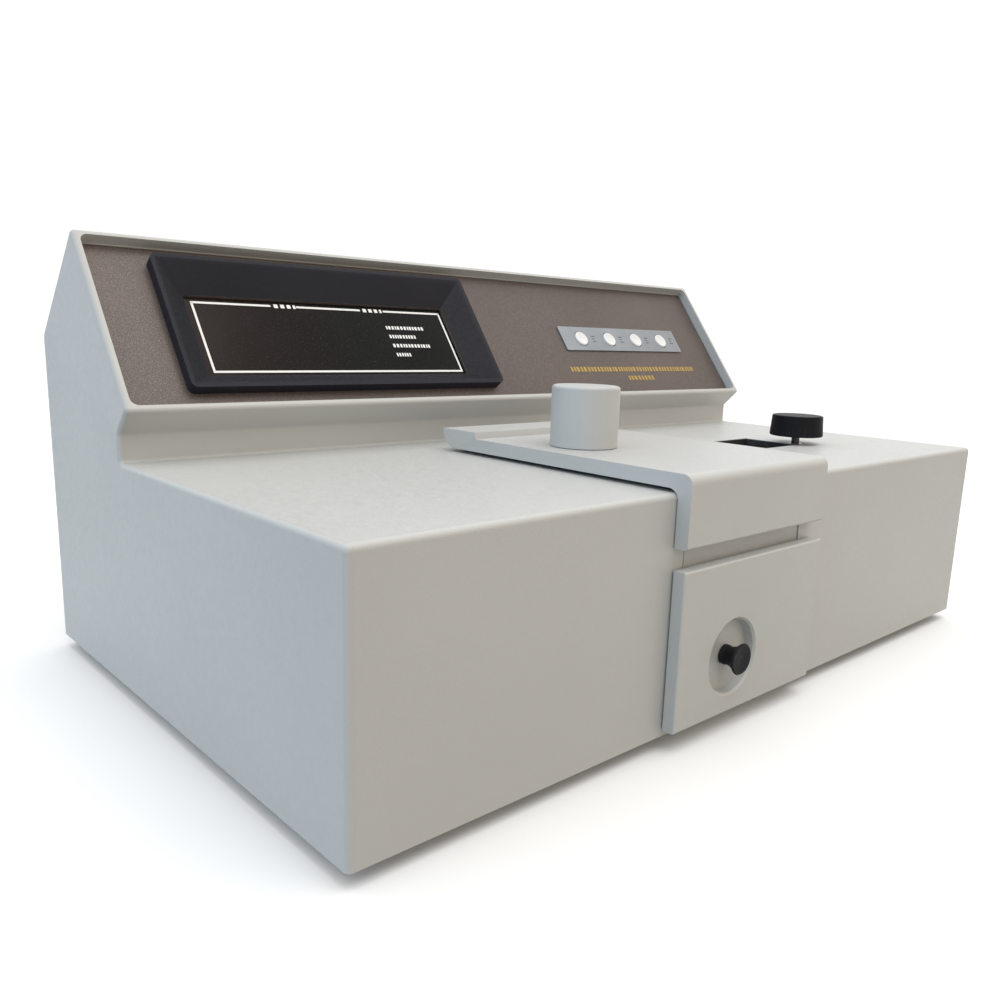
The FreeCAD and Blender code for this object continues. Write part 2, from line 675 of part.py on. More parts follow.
def bench_mirrors():
    return group([
        fold_mirror(45.0, BEAM_Y, BEAM_Z, 45.0),
        fold_mirror(84.0, 60.0, 72.0, -45.0),
        round_mirror(70.0, 62.0, 13.0, 140.0),
        round_mirror(45.0, 50.0, 11.0, 140.0),
    ])


def grating_shaft():
    block = box(52.0, 82.0, GRATING_Y - 5, GRATING_Y + 6, BEAM_Z - 13, BEAM_Z + 13)
    block = block.makeFillet(1.5, edges_along(block, (1, 0, 0)))
    return fuse([cyl(SHAFT_R, (37.0, GRATING_Y, BEAM_Z), (1, 0, 0), 86.0), block])


def grating_plate():
    return box(54.0, 80.0, GRATING_Y + 6, GRATING_Y + 11, BEAM_Z - 12, BEAM_Z + 12)


def sine_bar():
    arm = box(112.0, 118.0, KNOB_XY[1] - 3, GRATING_Y, BEAM_Z - 1.2, BEAM_Z + 6)
    hub = cyl(8.0, (110.0, GRATING_Y, BEAM_Z), (1, 0, 0), 10.0)
    return fuse([arm, hub]).cut(cyl(SHAFT_R, (100.0, GRATING_Y, BEAM_Z), (1, 0, 0), 40))


def drive_frame():
    x, y = KNOB_XY
    low = box(119.5, 146.0, -84.0, -48.0, 10.0, 15.0)
    high = box(119.5, 146.0, -84.0, -48.0, 79.0, 83.0)
    web = box(143.0, 146.0, -84.0, -48.0, 10.0, 83.0)
    posts = [cyl(3.5, (px, py, 8.4), (0, 0, 1), 2.0) for px in (124.0, 141.0) for py in (-79.0, -53.0)]
    guide = cyl(2.0, (GUIDE_XY[0], GUIDE_XY[1], 12.0), (0, 0, 1), 70.0)
    bore = cyl(STEM_R + FIT, (x, y, 9.0), (0, 0, 1), 80)
    return fuse([low, high, web, guide] + posts).cut(bore)


def knob_shaft():
    x, y = KNOB_XY
    stem = cyl(STEM_R, (x, y, 11.0), (0, 0, 1), 106.0)
    thread = cyl(SCREW_R, (x, y, 16.0), (0, 0, 1), 62.0)
    grooves = []
    for i in range(30):
        ring = Part.makeTorus(SCREW_R, 0.45, V(x, y, 17.5 + i * 2.0), V(0, 0, 1))
        grooves.append(ring)
    roller = cyl(ROLLER_R, (x, y, 88.0), (0, 0, 1), 6.0)
    return cut(fuse([stem, thread, roller]), grooves)


def drive_nut():
    x, y = KNOB_XY
    block = box(121.5, 139.5, -80.0, y + 9, 51.0, 61.0)
    block = block.makeFillet(1.5, edges_along(block, (0, 0, 1)))
    pin = cyl(2.0, (110.5, y, 52.0), (1, 0, 0), 14.0)
    lug = box(119.5, 123.0, y - 4, y + 4, 49.0, 56.0)
    tools = [
        cyl(SCREW_R + 0.08, (x, y, 40.0), (0, 0, 1), 40),
        cyl(2.0 + FIT, (GUIDE_XY[0], GUIDE_XY[1], 40.0), (0, 0, 1), 40),
    ]
    return cut(fuse([block, lug, pin]), tools)


def shaft_bush():
    x, y = KNOB_XY
    barrel = cyl(3.9, (x, y, 96.5), (0, 0, 1), DECK_Z - 96.5)
    flange = cyl(6.0, (x, y, 96.5), (0, 0, 1), DECK_Z - WALL - 96.5)
    flat = box(x - 10, x - 4.1, y - 10, y + 10, 90, DECK_Z - WALL)
    return cut(fuse([barrel, flange]), [cyl(STEM_R + FIT, (x, y, 90), (0, 0, 1), 20), flat])


def wavelength_knob():
    x, y = KNOB_XY
    height = KNOB_Z[1] - KNOB_Z[0]
    knob = cone(KNOB_R[0], KNOB_R[1], (x, y, KNOB_Z[0]), (0, 0, 1), height)
    rims = [e for e in knob.Edges if e.BoundBox.ZLength < 0.01]
    knob = knob.makeFillet(0.8, rims)
    flutes = []
    for i in range(30):
        angle = math.radians(i * 12.0)
        fx = x + (KNOB_R[0] + 0.55) * math.cos(angle)
        fy = y + (KNOB_R[0] + 0.55) * math.sin(angle)
        flutes.append(cyl(0.9, (fx, fy, KNOB_Z[0] - 1), (0, 0, 1), height - 0.6))
    bore = cyl(STEM_R, (x, y, KNOB_Z[0] - 1), (0, 0, 1), 9.9)
    return cut(knob, flutes + [bore])


def wavelength_dial():
    x, y = DIAL_XY
    disc = cyl(DIAL_R, (x, y, DIAL_Z[0]), (0, 0, 1), DIAL_Z[1] - DIAL_Z[0])
    hub = cyl(7.0, (x, y, 86.5), (0, 0, 1), 7.5)
    holes = []
    for i in range(6):
        angle = math.radians(60.0 * i)
        holes.append(cyl(4.0, (x + 14 * math.cos(angle), y + 14 * math.sin(angle), 80), (0, 0, 1), 20))
    return cut(fuse([disc, hub]), holes + [cyl(2.0 + FIT, (x, y, 80), (0, 0, 1), 20)])


def wavelength_window():
    return box(SIGHT_X[0] - 2.5, SIGHT_X[1] + 0.9, SIGHT_Y[0] - 2.5, SIGHT_Y[1] + 2.5,
               DECK_Z - WALL - 2.0, DECK_Z - WALL)


def lamp_house():
    outer = box(134.0, 194.0, 16.0, 100.0, 10.0, 92.0)
    inner = box(135.5, 192.5, 17.5, 98.5, 12.0, 93.0)
    legs = [cyl(4.0, (x, y, 8.4), (0, 0, 1), 2.0) for x in (141.0, 186.0) for y in (24.0, 92.0)]
    port = cyl(8.0, (132.0, 60.0, 72.0), (1, 0, 0), 6)
    slots = [box(192.0, 195.0, 21.0 + 10 * i, 26.0 + 10 * i, 30.0, 84.0) for i in range(8)]
    pedestal = cyl(11.0, (156.0, 60.0, 11.0), (0, 0, 1), 27.0)
    spindle_bore = cyl(1.5 + FIT, (156.0, 60.0, 30.0), (0, 0, 1), 20)
    return cut(fuse([outer.cut(inner), pedestal] + legs), [port, spindle_bore] + slots)


def halogen_lamp():
    socket = cyl(8.0, (178.0, 86.0, 12.0), (0, 0, 1), 46.0)
    bulb = cyl(5.5, (178.0, 86.0, 58.0), (0, 0, 1), 18.0)
    tip = Part.makeSphere(5.5, V(178.0, 86.0, 76.0))
    return fuse([socket, bulb, tip])


def deuterium_lamp():
    socket = cyl(12.0, (176.0, 33.0, 12.0), (0, 0, 1), 28.0)
    bulb = cyl(13.0, (176.0, 33.0, 40.0), (0, 0, 1), 36.0)
    tip = cone(13.0, 4.0, (176.0, 33.0, 76.0), (0, 0, 1), 8.0)
    return fuse([socket, bulb, tip])


def lamp_mirror():
    spindle = cyl(1.5, (156.0, 60.0, 31.0), (0, 0, 1), 14.0)
    hub = cyl(5.0, (156.0, 60.0, 42.0), (0, 0, 1), 10.0)
    glass = box(143.0, 169.0, 58.5, 61.5, 52.0, 86.0)
    glass.rotate(V(156.0, 60.0, 0), V(0, 0, 1), 25.0)
    return fuse([spindle, hub, glass])


def main_board():
    board = plate(-194.0, -112.0, -112.0, 30.0, 20.0, 21.6, 3.0)
    holes = [cyl(1.6, (x, y, 18), (0, 0, 1), 6) for x in (-189, -117) for y in (-107, 25)]
    return cut(board, holes)


def board_chips():
    chips = [
        box(-180, -156, -90, -66, 21.6, 25.0),
        box(-144, -124, -92, -84, 21.6, 26.0),
        box(-144, -124, -74, -66, 21.6, 26.0),
        box(-182, -162, -50, -42, 21.6, 26.0),
        box(-182, -162, -32, -24, 21.6, 26.0),
        cyl(6.0, (-132, -36, 21.6), (0, 0, 1), 16.0),
        cyl(6.0, (-132, -16, 21.6), (0, 0, 1), 16.0),
        box(-186, -140, 6, 16, 21.6, 34.0),
    ]
    return group(chips)


def transformer_core():
    outer = box(-190.0, -130.0, 60.0, 88.0, 12.0, 62.0)
    windows = [box(-180.0, -165.0, 55.0, 95.0, 22.0, 52.0), box(-155.0, -140.0, 55.0, 95.0, 22.0, 52.0)]
    feet = [box(x, x + 12, 60.0, 88.0, 8.4, 12.5) for x in (-190.0, -142.0)]
    return cut(fuse([outer] + feet), windows)


def transformer_coil():
    outer = box(-179.5, -140.5, 50.0, 98.0, 22.5, 51.5)
    outer = outer.makeFillet(5.0, edges_along(outer, (0, 0, 1)))
    return outer.cut(box(-165.0, -155.0, 60.0, 88.0, 10.0, 62.0))


def power_inlet():
    x, z = INLET_X, SOCKET_Z
    flange = plate(-16.0, 16.0, -12.5, 12.5, 0.0, 2.0, 3.0)
    flange.rotate(V(0, 0, 0), V(1, 0, 0), 90)
    flange.translate(V(x, REAR_Y[1] + 2.0, z))
    body = box(x - 13.5, x + 13.5, 112.0, REAR_Y[1] + 0.5, z - 10.0, z + 10.0)
    cavity = box(x - 12.0, x + 12.0, 118.0, 140.0, z - 8.0, z + 8.0)
    bevels = [e for e in edges_along(cavity, (0, 1, 0)) if e.Vertexes[0].Z > z]
    cavity = cavity.makeChamfer(4.0, bevels)
    pins = [box(x - 1, x + 1, 117.5, 131.0, z, z + 4)]
    for side in (-1, 1):
        pins.append(box(x + side * 7 - 1, x + side * 7 + 1, 117.5, 131.0, z - 5, z - 1))
    return fuse([fuse([flange, body]).cut(cavity)] + pins)


def fuse_holder():
    x, z = FUSE_X, SOCKET_Z
    barrel = cyl(6.0, (x, 104.0, z), (0, 1, 0), 30.0)
    cap = cyl(8.0, (x, REAR_Y[1], z), (0, 1, 0), 2.8)
    return fuse([barrel, cap]).cut(box(x - 5, x + 5, REAR_Y[1] + 1.6, 140, z - 0.8, z + 0.8))


def switch_frame():
    x, z = SWITCH_X, SOCKET_Z
    flange = box(x - 12.5, x + 12.5, REAR_Y[1], REAR_Y[1] + 1.6, z - 15.5, z + 15.5)
    body = box(x - 10.5, x + 10.5, 114.0, REAR_Y[1] + 0.4, z - 13.5, z + 13.5)
    well = box(x - 8.5, x + 8.5, 122.0, 140.0, z - 11.5, z + 11.5)
    bore = cyl(1.5 + FIT, (x - 9.8, 128.6, z), (1, 0, 0), 19.6)
    return cut(fuse([flange, body]), [well, bore])


def switch_rocker():
    x, z = SWITCH_X, SOCKET_Z
    paddle = box(x - 8.0, x + 8.0, 128.6, 134.2, z - 9.6, z + 9.6)
    dish = cyl(40.0, (x - 20.0, 171.6, z), (1, 0, 0), 40.0)
    pivot = cyl(3.2, (x - 8.0, 128.6, z), (1, 0, 0), 16.0)
    ends = cyl(1.5, (x - 9.6, 128.6, z), (1, 0, 0), 19.2)
    rocker = fuse([paddle.cut(dish), pivot, ends])
    rocker.rotate(V(x, 128.6, z), V(1, 0, 0), -9.0)
    return rocker


def serial_port():
    x, z = SERIAL_X, SOCKET_Z
    flange = box(x - 15.5, x + 15.5, REAR_Y[1], REAR_Y[1] + 1.0, z - 6.2, z + 6.2)
    shell = box(x - 9.2, x + 9.2, 120.0, 136.0, z - 5.2, z + 5.2)
    shell = shell.makeFillet(2.0, edges_along(shell, (0, 1, 0)))
    cavity = box(x - 8.4, x + 8.4, 130.0, 140.0, z - 4.4, z + 4.4)
    cavity = cavity.makeFillet(1.4, edges_along(cavity, (0, 1, 0)))
    pins = []
    for i in range(5):
        pins.append(cyl(0.6, (x - 5.6 + i * 2.8, 129.5, z + 1.4), (0, 1, 0), 2.0))
    for i in range(4):
        pins.append(cyl(0.6, (x - 4.2 + i * 2.8, 129.5, z - 1.4), (0, 1, 0), 2.0))
    return fuse([fuse([flange, shell]).cut(cavity)] + pins)


def fan_frame():
    x, z = FAN_XZ
    y0, y1 = 107.0, REAR_Y[0]
    frame = box(x - FAN_HALF, x + FAN_HALF, y0, y1, z - FAN_HALF, z + FAN_HALF)
    frame = frame.makeFillet(4.0, edges_along(frame, (0, 1, 0)))
    frame = frame.cut(cyl(28.0, (x, y0 - 1, z), (0, 1, 0), 40))
    hub = cyl(12.0, (x, y0, z), (0, 1, 0), 3.0)
    spokes = [box(x - 29, x + 29, y0, y0 + 3, z - 1.5, z + 1.5),
              box(x - 1.5, x + 1.5, y0, y0 + 3, z - 29, z + 29)]
    return fuse([frame, hub] + spokes).cut(cyl(1.5 + FIT, (x, y0 - 1, z), (0, 1, 0), 10))


def fan_rotor():
    x, z = FAN_XZ
    hub = cyl(12.5, (x, 111.0, z), (0, 1, 0), 16.0)
    spindle = cyl(1.5, (x, 107.5, z), (0, 1, 0), 5.0)
    blades = []
    for i in range(7):
        blade = box(-1.0, 1.0, -7.0, 7.0, 11.0, 26.8)
        blade.rotate(V(0, 0, 0), V(0, 0, 1), 40)
        blade.rotate(V(0, 0, 0), V(0, 1, 0), i * 360.0 / 7)
        blade.translate(V(x, 119.0, z))
        blades.append(blade)
    return fuse([hub, spindle] + blades)


def build():
    makers = [
        cover_shell, cover_hood, cover_cheeks, base_pan, rubber_feet, case_screws, rear_panel, display_panel,
        display_bezel, display_window, display_board, digit_modules, key_strip, sample_box,
        front_sill, front_panel, brass_bushes, carriage_rails, cuvette_carriage, pull_rod, pull_knob,
        sample_lid, lid_baffle, hinge_pins, hinge_brackets, tube_cap, beam_lenses,
        detector_housing, photodiode, monochromator_case, monochromator_cover, bench_mirrors,
        grating_shaft, grating_plate, sine_bar, drive_frame, knob_shaft,
        drive_nut, wavelength_knob, wavelength_dial, wavelength_window, lamp_house,
        halogen_lamp, deuterium_lamp, lamp_mirror, main_board, board_chips, transformer_core,
        transformer_coil, power_inlet, fuse_holder, switch_frame, switch_rocker, serial_port,
        fan_frame, fan_rotor,
    ]
    parts = {maker.__name__: maker() for maker in makers}
    for i, u in enumerate(KEY_U):
        parts["key_" + str(i + 1)] = key(u)
    return parts


os.makedirs("parts", exist_ok=True)
for name, shape in build().items():
    shape.exportStep(os.path.join("parts", name + ".step"))
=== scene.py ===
import json
import math

import bmesh
import bpy
from bpy.props import FloatProperty, FloatVectorProperty, IntProperty, PointerProperty
from bpy.types import Operator, Panel, PropertyGroup
from mathutils import Matrix, Vector


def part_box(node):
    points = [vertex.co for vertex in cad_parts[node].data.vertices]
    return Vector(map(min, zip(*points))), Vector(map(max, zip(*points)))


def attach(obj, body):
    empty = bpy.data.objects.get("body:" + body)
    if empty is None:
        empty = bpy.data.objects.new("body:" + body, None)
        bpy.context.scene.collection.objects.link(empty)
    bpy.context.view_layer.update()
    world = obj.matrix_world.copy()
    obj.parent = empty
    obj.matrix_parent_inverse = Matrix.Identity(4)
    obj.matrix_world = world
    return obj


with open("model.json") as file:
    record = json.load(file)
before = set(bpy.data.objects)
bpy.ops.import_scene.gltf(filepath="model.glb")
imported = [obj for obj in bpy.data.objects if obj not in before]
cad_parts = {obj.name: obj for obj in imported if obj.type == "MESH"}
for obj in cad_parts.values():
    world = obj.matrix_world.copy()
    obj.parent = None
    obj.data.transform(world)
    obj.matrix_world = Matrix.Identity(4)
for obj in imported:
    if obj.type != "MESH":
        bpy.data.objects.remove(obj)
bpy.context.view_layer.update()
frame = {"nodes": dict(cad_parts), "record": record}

bl_info = {
    "name": "Bench Spectrophotometer",
    "version": (1, 0, 0),
    "blender": (4, 5, 0),
    "location": "3D View > Sidebar > Spectrophotometer",
    "description": "Finishes, markings and studio for a bench spectrophotometer built round its CAD frame",
    "category": "Object",
}

MM = 0.001
RECORD = frame["record"]
JOINTS = {joint["name"]: joint for joint in RECORD["behaviour"]["joints"]}


# The opening over the wavelength dial: the glass runs under the deck past each of its sides.
DECK_TOP = 103.6 * MM
GLASS_LAP = 2.5 * MM
GLASS_LAP_RIGHT = 0.9 * MM
# A dark sleeve paints shade on the walls of the sight opening: its clearance, thickness and drop below the
# deck.
SHADE_SLEEVE_CLEARANCE = 0.05 * MM
SHADE_SLEEVE_THICKNESS = 0.35 * MM
SHADE_SLEEVE_DROP = 0.3 * MM

# Print on the display window and the fascia, with heights taken up the slope from the plate's foot.
INK_LIFT = 0.02 * MM
DASH_CORNER = 0.2 * MM
DASH_FILL = 0.62
TITLE_GAPS = ((-127.0 * MM, -113.5 * MM), (-77.0 * MM, -63.0 * MM))
TITLE_MARGIN = 1.6 * MM
TITLE_DASHES = 4
TITLE_PITCH = 2.75 * MM
LEGEND_ROWS = ((33.1 * MM, 13), (27.6 * MM, 10), (22.0 * MM, 13), (16.4 * MM, 6))
LEGEND_PITCH = 1.75 * MM
GILT_PITCH = 2.95 * MM

# Key symbols are three short bars: their lengths and heights from the middle of the strip.
SYMBOL_BARS = ((3.4 * MM, 1.9 * MM), (2.2 * MM, 0.0), (3.0 * MM, -1.9 * MM))
SYMBOL_GAP = 3.1 * MM
SYMBOL_HALF_HEIGHT = 0.3 * MM
KEY_NUMBERS = range(1, 5)

# The wavelength dial: its printed face lies below its top.
DIAL_FACE_DROP = 2.0 * MM
DIAL_SWEEP = 324.0
DIAL_MARGIN = 1.2 * MM
TICK_HALF_WIDTH = 0.15 * MM
TICK_FILM = 0.08 * MM
LONG_TICK = 5.0 * MM
MIDDLE_TICK = 3.6 * MM
SHORT_TICK = 2.2 * MM
DIAL_NUMBERS = range(200, 1001, 100)
NUMBER_SIZE = 4.6 * MM
NUMBER_INSET = 9.5 * MM
NUMBER_HALF_FILM = 0.04 * MM
NUMBER_LIFT = 0.05 * MM

# Seven-segment bars on the digit modules, with heights from the foot of the board.
MODULE_COUNT = 4
MODULE_GAP = 3.0 * MM
MODULE_PITCH = 21.0 * MM
SEGMENT_MARGIN = 4.0 * MM
SEGMENT_OUT = 5.85 * MM
SEGMENT_LIFT = 0.1 * MM
SEGMENT_CORNER = 0.6 * MM
SEGMENT_HALF_WIDTH = 0.7 * MM
SEGMENT_INSET = 0.8 * MM
SEGMENT_LENGTH = 7.3 * MM
LEVEL_SEGMENTS = (18.5 * MM, 28.0 * MM, 37.5 * MM)
UPRIGHT_SEGMENTS = (19.6 * MM, 29.1 * MM)

CAMERA_SHIFT = (-0.0076, 0.0175)

# The colour sockets of a Mix node, which share their names with its number and vector sockets.
MIX_FACTOR, MIX_FIRST, MIX_SECOND, MIX_RESULT = 0, 6, 7, 2


# ---------------------------------------------------------------- node helpers


def mix_colours(tree, factor, first, second):
    """Blend two colours, each given as a plain colour or as a socket."""
    node = tree.nodes.new("ShaderNodeMix")
    node.data_type = "RGBA"
    tree.links.new(factor, node.inputs[MIX_FACTOR])
    for index, value in ((MIX_FIRST, first), (MIX_SECOND, second)):
        if isinstance(value, bpy.types.NodeSocket):
            tree.links.new(value, node.inputs[index])
        else:
            node.inputs[index].default_value = (*value, 1.0)
    return node.outputs[MIX_RESULT]


class Finish:
    """A material under construction: its node tree, its shader and its object-space coordinates."""

    def __init__(self, name, colour, roughness=0.5, metallic=0.0):
        self.material = bpy.data.materials.new(name)
        self.material.use_nodes = True
        self.nodes = self.material.node_tree.nodes
        self.links = self.material.node_tree.links
        self.shader = self.nodes["Principled BSDF"]
        self.shader.inputs["Base Color"].default_value = (*colour, 1.0)
        self.shader.inputs["Roughness"].default_value = roughness
        self.shader.inputs["Metallic"].default_value = metallic
        self.material.diffuse_color = (*colour, 1.0)
        self.place = self.nodes.new("ShaderNodeTexCoord")

    def set(self, **values):
        for socket, value in values.items():
            self.shader.inputs[socket.replace("_", " ")].default_value = value

    def stretch(self, scale):
        """Object coordinates scaled unevenly, for brushed and turned surfaces."""
        mapping = self.nodes.new("ShaderNodeMapping")
        mapping.inputs["Scale"].default_value = scale
        self.links.new(self.place.outputs["Object"], mapping.inputs["Vector"])
        return mapping.outputs["Vector"]

    def noise(self, scale, detail=3.0, rough=0.5, vector=None):
        node = self.nodes.new("ShaderNodeTexNoise")
        node.inputs["Scale"].default_value = scale
        node.inputs["Detail"].default_value = detail
        node.inputs["Roughness"].default_value = rough
        self.links.new(vector or self.place.outputs["Object"], node.inputs["Vector"])
        return node.outputs["Fac"]

    def cells(self, scale, feature="F1", output="Distance"):
        node = self.nodes.new("ShaderNodeTexVoronoi")
        node.feature = feature
        node.inputs["Scale"].default_value = scale
        self.links.new(self.place.outputs["Object"], node.inputs["Vector"])
        return node.outputs[output]

    def remap(self, value, low, high, out_low, out_high):
        node = self.nodes.new("ShaderNodeMapRange")
        node.inputs["From Min"].default_value = low
        node.inputs["From Max"].default_value = high
        node.inputs["To Min"].default_value = out_low
        node.inputs["To Max"].default_value = out_high
        self.links.new(value, node.inputs["Value"])
        return node.outputs["Result"]

    def blend(self, factor, first, second):
        return mix_colours(self.material.node_tree, factor, first, second)

    def add(self, first, second, weight=1.0):
        node = self.nodes.new("ShaderNodeMath")
        node.operation = "MULTIPLY_ADD"
        self.links.new(second, node.inputs[0])
        node.inputs[1].default_value = weight
        self.links.new(first, node.inputs[2])
        return node.outputs[0]

    def colour(self, socket):
        self.links.new(socket, self.shader.inputs["Base Color"])

    def roughness(self, socket):
        self.links.new(socket, self.shader.inputs["Roughness"])

    def bump(self, height, strength, distance):
        node = self.nodes.new("ShaderNodeBump")
        node.inputs["Strength"].default_value = strength
        node.inputs["Distance"].default_value = distance
        self.links.new(height, node.inputs["Height"])
        self.links.new(node.outputs["Normal"], self.shader.inputs["Normal"])

    def edge_wear(self, base, worn_and_lit, amount):
        """Lighten convex edges a little, as handled paint and plastic do; on moulded plastic the lightening
        is strong and is also a painted highlight along crest edges.
        """
        geometry = self.nodes.new("ShaderNodeNewGeometry")
        factor = self.remap(geometry.outputs["Pointiness"], 0.52, 0.60, 0.0, amount)
        return self.blend(factor, base, worn_and_lit)


def shade(colour, factor):
    """A colour made darker or lighter by a factor."""
    return tuple(min(1.0, channel * factor) for channel in colour)


# ------------------------------------------------------------------- finishes


def textured_paint(name, colour):
    """Satin instrument enamel with a fine pebbled coat and faint tonal drift."""
    finish = Finish(name, colour, 0.46)
    broad = finish.remap(finish.noise(9.0, 2.0), 0.3, 0.7, 0.0, 1.0)
    toned = finish.blend(broad, shade(colour, 0.965), shade(colour, 1.03))
    speck = finish.remap(finish.noise(2600.0, 2.0, 0.6), 0.42, 0.66, 0.0, 0.22)
    speckled = finish.blend(speck, toned, shade(colour, 0.86))
    finish.colour(finish.edge_wear(speckled, shade(colour, 1.10), 0.35))
    finish.roughness(finish.remap(finish.noise(420.0, 3.0), 0.3, 0.7, 0.34, 0.50))
    pebbles = finish.cells(1500.0)
    coat = finish.add(pebbles, finish.noise(700.0, 2.0), 0.6)
    finish.bump(coat, 0.22, 0.00012)
    return finish.material


def speckled_metallic(name, colour):
    """Brown-grey metallic screen print with fine light and dark flakes."""
    finish = Finish(name, colour, 0.42, 0.25)
    broad = finish.remap(finish.noise(14.0, 2.0), 0.3, 0.7, 0.0, 1.0)
    base = finish.blend(broad, shade(colour, 0.88), shade(colour, 1.10))
    flakes = finish.remap(finish.noise(3600.0, 1.0, 0.5), 0.50, 0.68, 0.0, 0.55)
    bright = finish.blend(flakes, base, (0.34, 0.29, 0.26))
    pits = finish.remap(finish.noise(2900.0, 1.0, 0.5), 0.52, 0.66, 0.0, 0.45)
    finish.colour(finish.blend(pits, bright, shade(colour, 0.5)))
    finish.roughness(finish.remap(finish.noise(2600.0, 1.0), 0.35, 0.65, 0.34, 0.52))
    finish.bump(finish.noise(2400.0, 2.0), 0.12, 0.00008)
    return finish.material


def moulded_plastic(name, colour, roughness, grain, depth, gloss=0.22):
    """Injection-moulded plastic with a sparked texture and lighter edges, partly handled wear and partly a
    painted highlight.
    """
    finish = Finish(name, colour, roughness)
    finish.set(Specular_IOR_Level=gloss)
    broad = finish.remap(finish.noise(22.0, 2.0), 0.3, 0.7, 0.0, 1.0)
    toned = finish.blend(broad, shade(colour, 0.88), shade(colour, 1.14))
    # Edges lightened toward 2.6 times the colour: partly wear, partly a painted highlight on crest edges such
    # as the bezel's.
    finish.colour(finish.edge_wear(toned, shade(colour, 2.6), 0.6))
    sheen = finish.noise(grain * 0.4, 2.0)
    finish.roughness(finish.remap(sheen, 0.3, 0.7, roughness - 0.07, roughness + 0.08))
    finish.bump(finish.add(finish.cells(grain), finish.noise(grain * 0.5), 0.5), 0.35, depth)
    return finish.material


def key_plastic(name, colour):
    """Glossy white key-cap plastic with faint patchy soiling."""
    finish = Finish(name, colour, 0.28)
    finish.set(Coat_Weight=0.25, Coat_Roughness=0.15)
    soil = finish.remap(finish.noise(240.0, 3.0), 0.4, 0.75, 0.0, 0.30)
    finish.colour(finish.blend(soil, colour, shade(colour, 0.82)))
    finish.bump(finish.noise(900.0, 2.0), 0.08, 0.00005)
    return finish.material


def smoked_glass(name, colour):
    """Dark smoked acrylic: smeared and dusty, with a painted brown reflection that makes it paler and browner
    toward its left end.
    """
    finish = Finish(name, colour, 0.16)
    finish.set(Specular_IOR_Level=0.08)
    split = finish.nodes.new("ShaderNodeSeparateXYZ")
    finish.links.new(finish.place.outputs["Object"], split.inputs["Vector"])
    # Painted reflection: the glass turns paler and browner toward its left end, standing in for brown room
    # light reflected there.
    reflection_leftward = finish.remap(split.outputs["X"], -0.172, -0.085, 1.0, 0.0)
    smear = finish.remap(finish.noise(26.0, 3.0), 0.35, 0.7, 0.0, 1.0)
    tinted = finish.blend(smear, shade(colour, 0.8), shade(colour, 1.3))
    reflection_tinted = finish.blend(reflection_leftward, tinted, (0.020, 0.012, 0.010))
    dust = finish.remap(finish.noise(1500.0, 1.0), 0.62, 0.72, 0.0, 0.35)
    finish.colour(finish.blend(dust, reflection_tinted, (0.06, 0.057, 0.054)))
    finish.roughness(finish.remap(finish.noise(40.0, 3.0), 0.3, 0.7, 0.11, 0.24))
    finish.bump(finish.noise(60.0, 1.0), 0.05, 0.0001)
    return finish.material


def brushed_metal(name, colour, roughness, stretch=(30.0, 1800.0, 1800.0)):
    """Drawn or ground metal with fine lines along one direction."""
    finish = Finish(name, colour, roughness, 1.0)
    lines = finish.noise(1.0, 3.0, 0.6, finish.stretch(stretch))
    patches = finish.remap(finish.noise(60.0, 3.0), 0.3, 0.7, 0.0, 1.0)
    finish.colour(finish.blend(patches, shade(colour, 0.86), colour))
    finish.roughness(finish.remap(lines, 0.3, 0.7, roughness - 0.08, roughness + 0.10))
    finish.bump(lines, 0.12, 0.00004)
    return finish.material


def cast_metal(name, colour):
    """Sand-textured aluminium casting."""
    finish = Finish(name, colour, 0.55, 0.9)
    grains = finish.noise(900.0, 4.0, 0.6)
    finish.colour(finish.blend(finish.remap(grains, 0.3, 0.7, 0.0, 1.0), shade(colour, 0.75), colour))
    finish.roughness(finish.remap(finish.noise(120.0, 3.0), 0.3, 0.7, 0.45, 0.68))
    finish.bump(finish.add(grains, finish.cells(500.0), 0.5), 0.4, 0.0002)
    return finish.material


def rubber(name, colour):
    """Matt rubber with a dusty bloom."""
    finish = Finish(name, colour, 0.82)
    bloom = finish.remap(finish.noise(180.0, 4.0), 0.45, 0.75, 0.0, 0.5)
    finish.colour(finish.blend(bloom, colour, (0.10, 0.10, 0.10)))
    finish.bump(finish.noise(1200.0, 3.0), 0.3, 0.0001)
    return finish.material


def circuit_board(name, colour):
    """Solder mask with buried copper tracks."""
    finish = Finish(name, colour, 0.38)
    tracks = finish.nodes.new("ShaderNodeTexBrick")
    tracks.inputs["Scale"].default_value = 90.0
    tracks.inputs["Mortar Size"].default_value = 0.03
    tracks.inputs["Color1"].default_value = (*colour, 1.0)
    tracks.inputs["Color2"].default_value = (*shade(colour, 0.8), 1.0)
    tracks.inputs["Mortar"].default_value = (*shade(colour, 1.8), 1.0)
    finish.links.new(finish.place.outputs["Object"], tracks.inputs["Vector"])
    finish.colour(tracks.outputs["Color"])
    finish.bump(tracks.outputs["Fac"], 0.2, 0.00005)
    return finish.material


def clear_glass(name, colour, ior=1.46):
    """Clear lamp and lens glass with faint surface ripple."""
    finish = Finish(name, colour, 0.04)
    finish.set(Transmission_Weight=0.92, IOR=ior)
    finish.roughness(finish.remap(finish.noise(90.0, 2.0), 0.4, 0.7, 0.02, 0.09))
    finish.bump(finish.noise(40.0, 1.0), 0.04, 0.0001)
    return finish.material


def mirror_coat(name, colour):
    """First-surface mirror with faint haze."""
    finish = Finish(name, colour, 0.03, 1.0)
    finish.roughness(finish.remap(finish.noise(150.0, 3.0), 0.45, 0.75, 0.02, 0.12))
    finish.colour(finish.blend(finish.noise(80.0), shade(colour, 0.93), colour))
    return finish.material


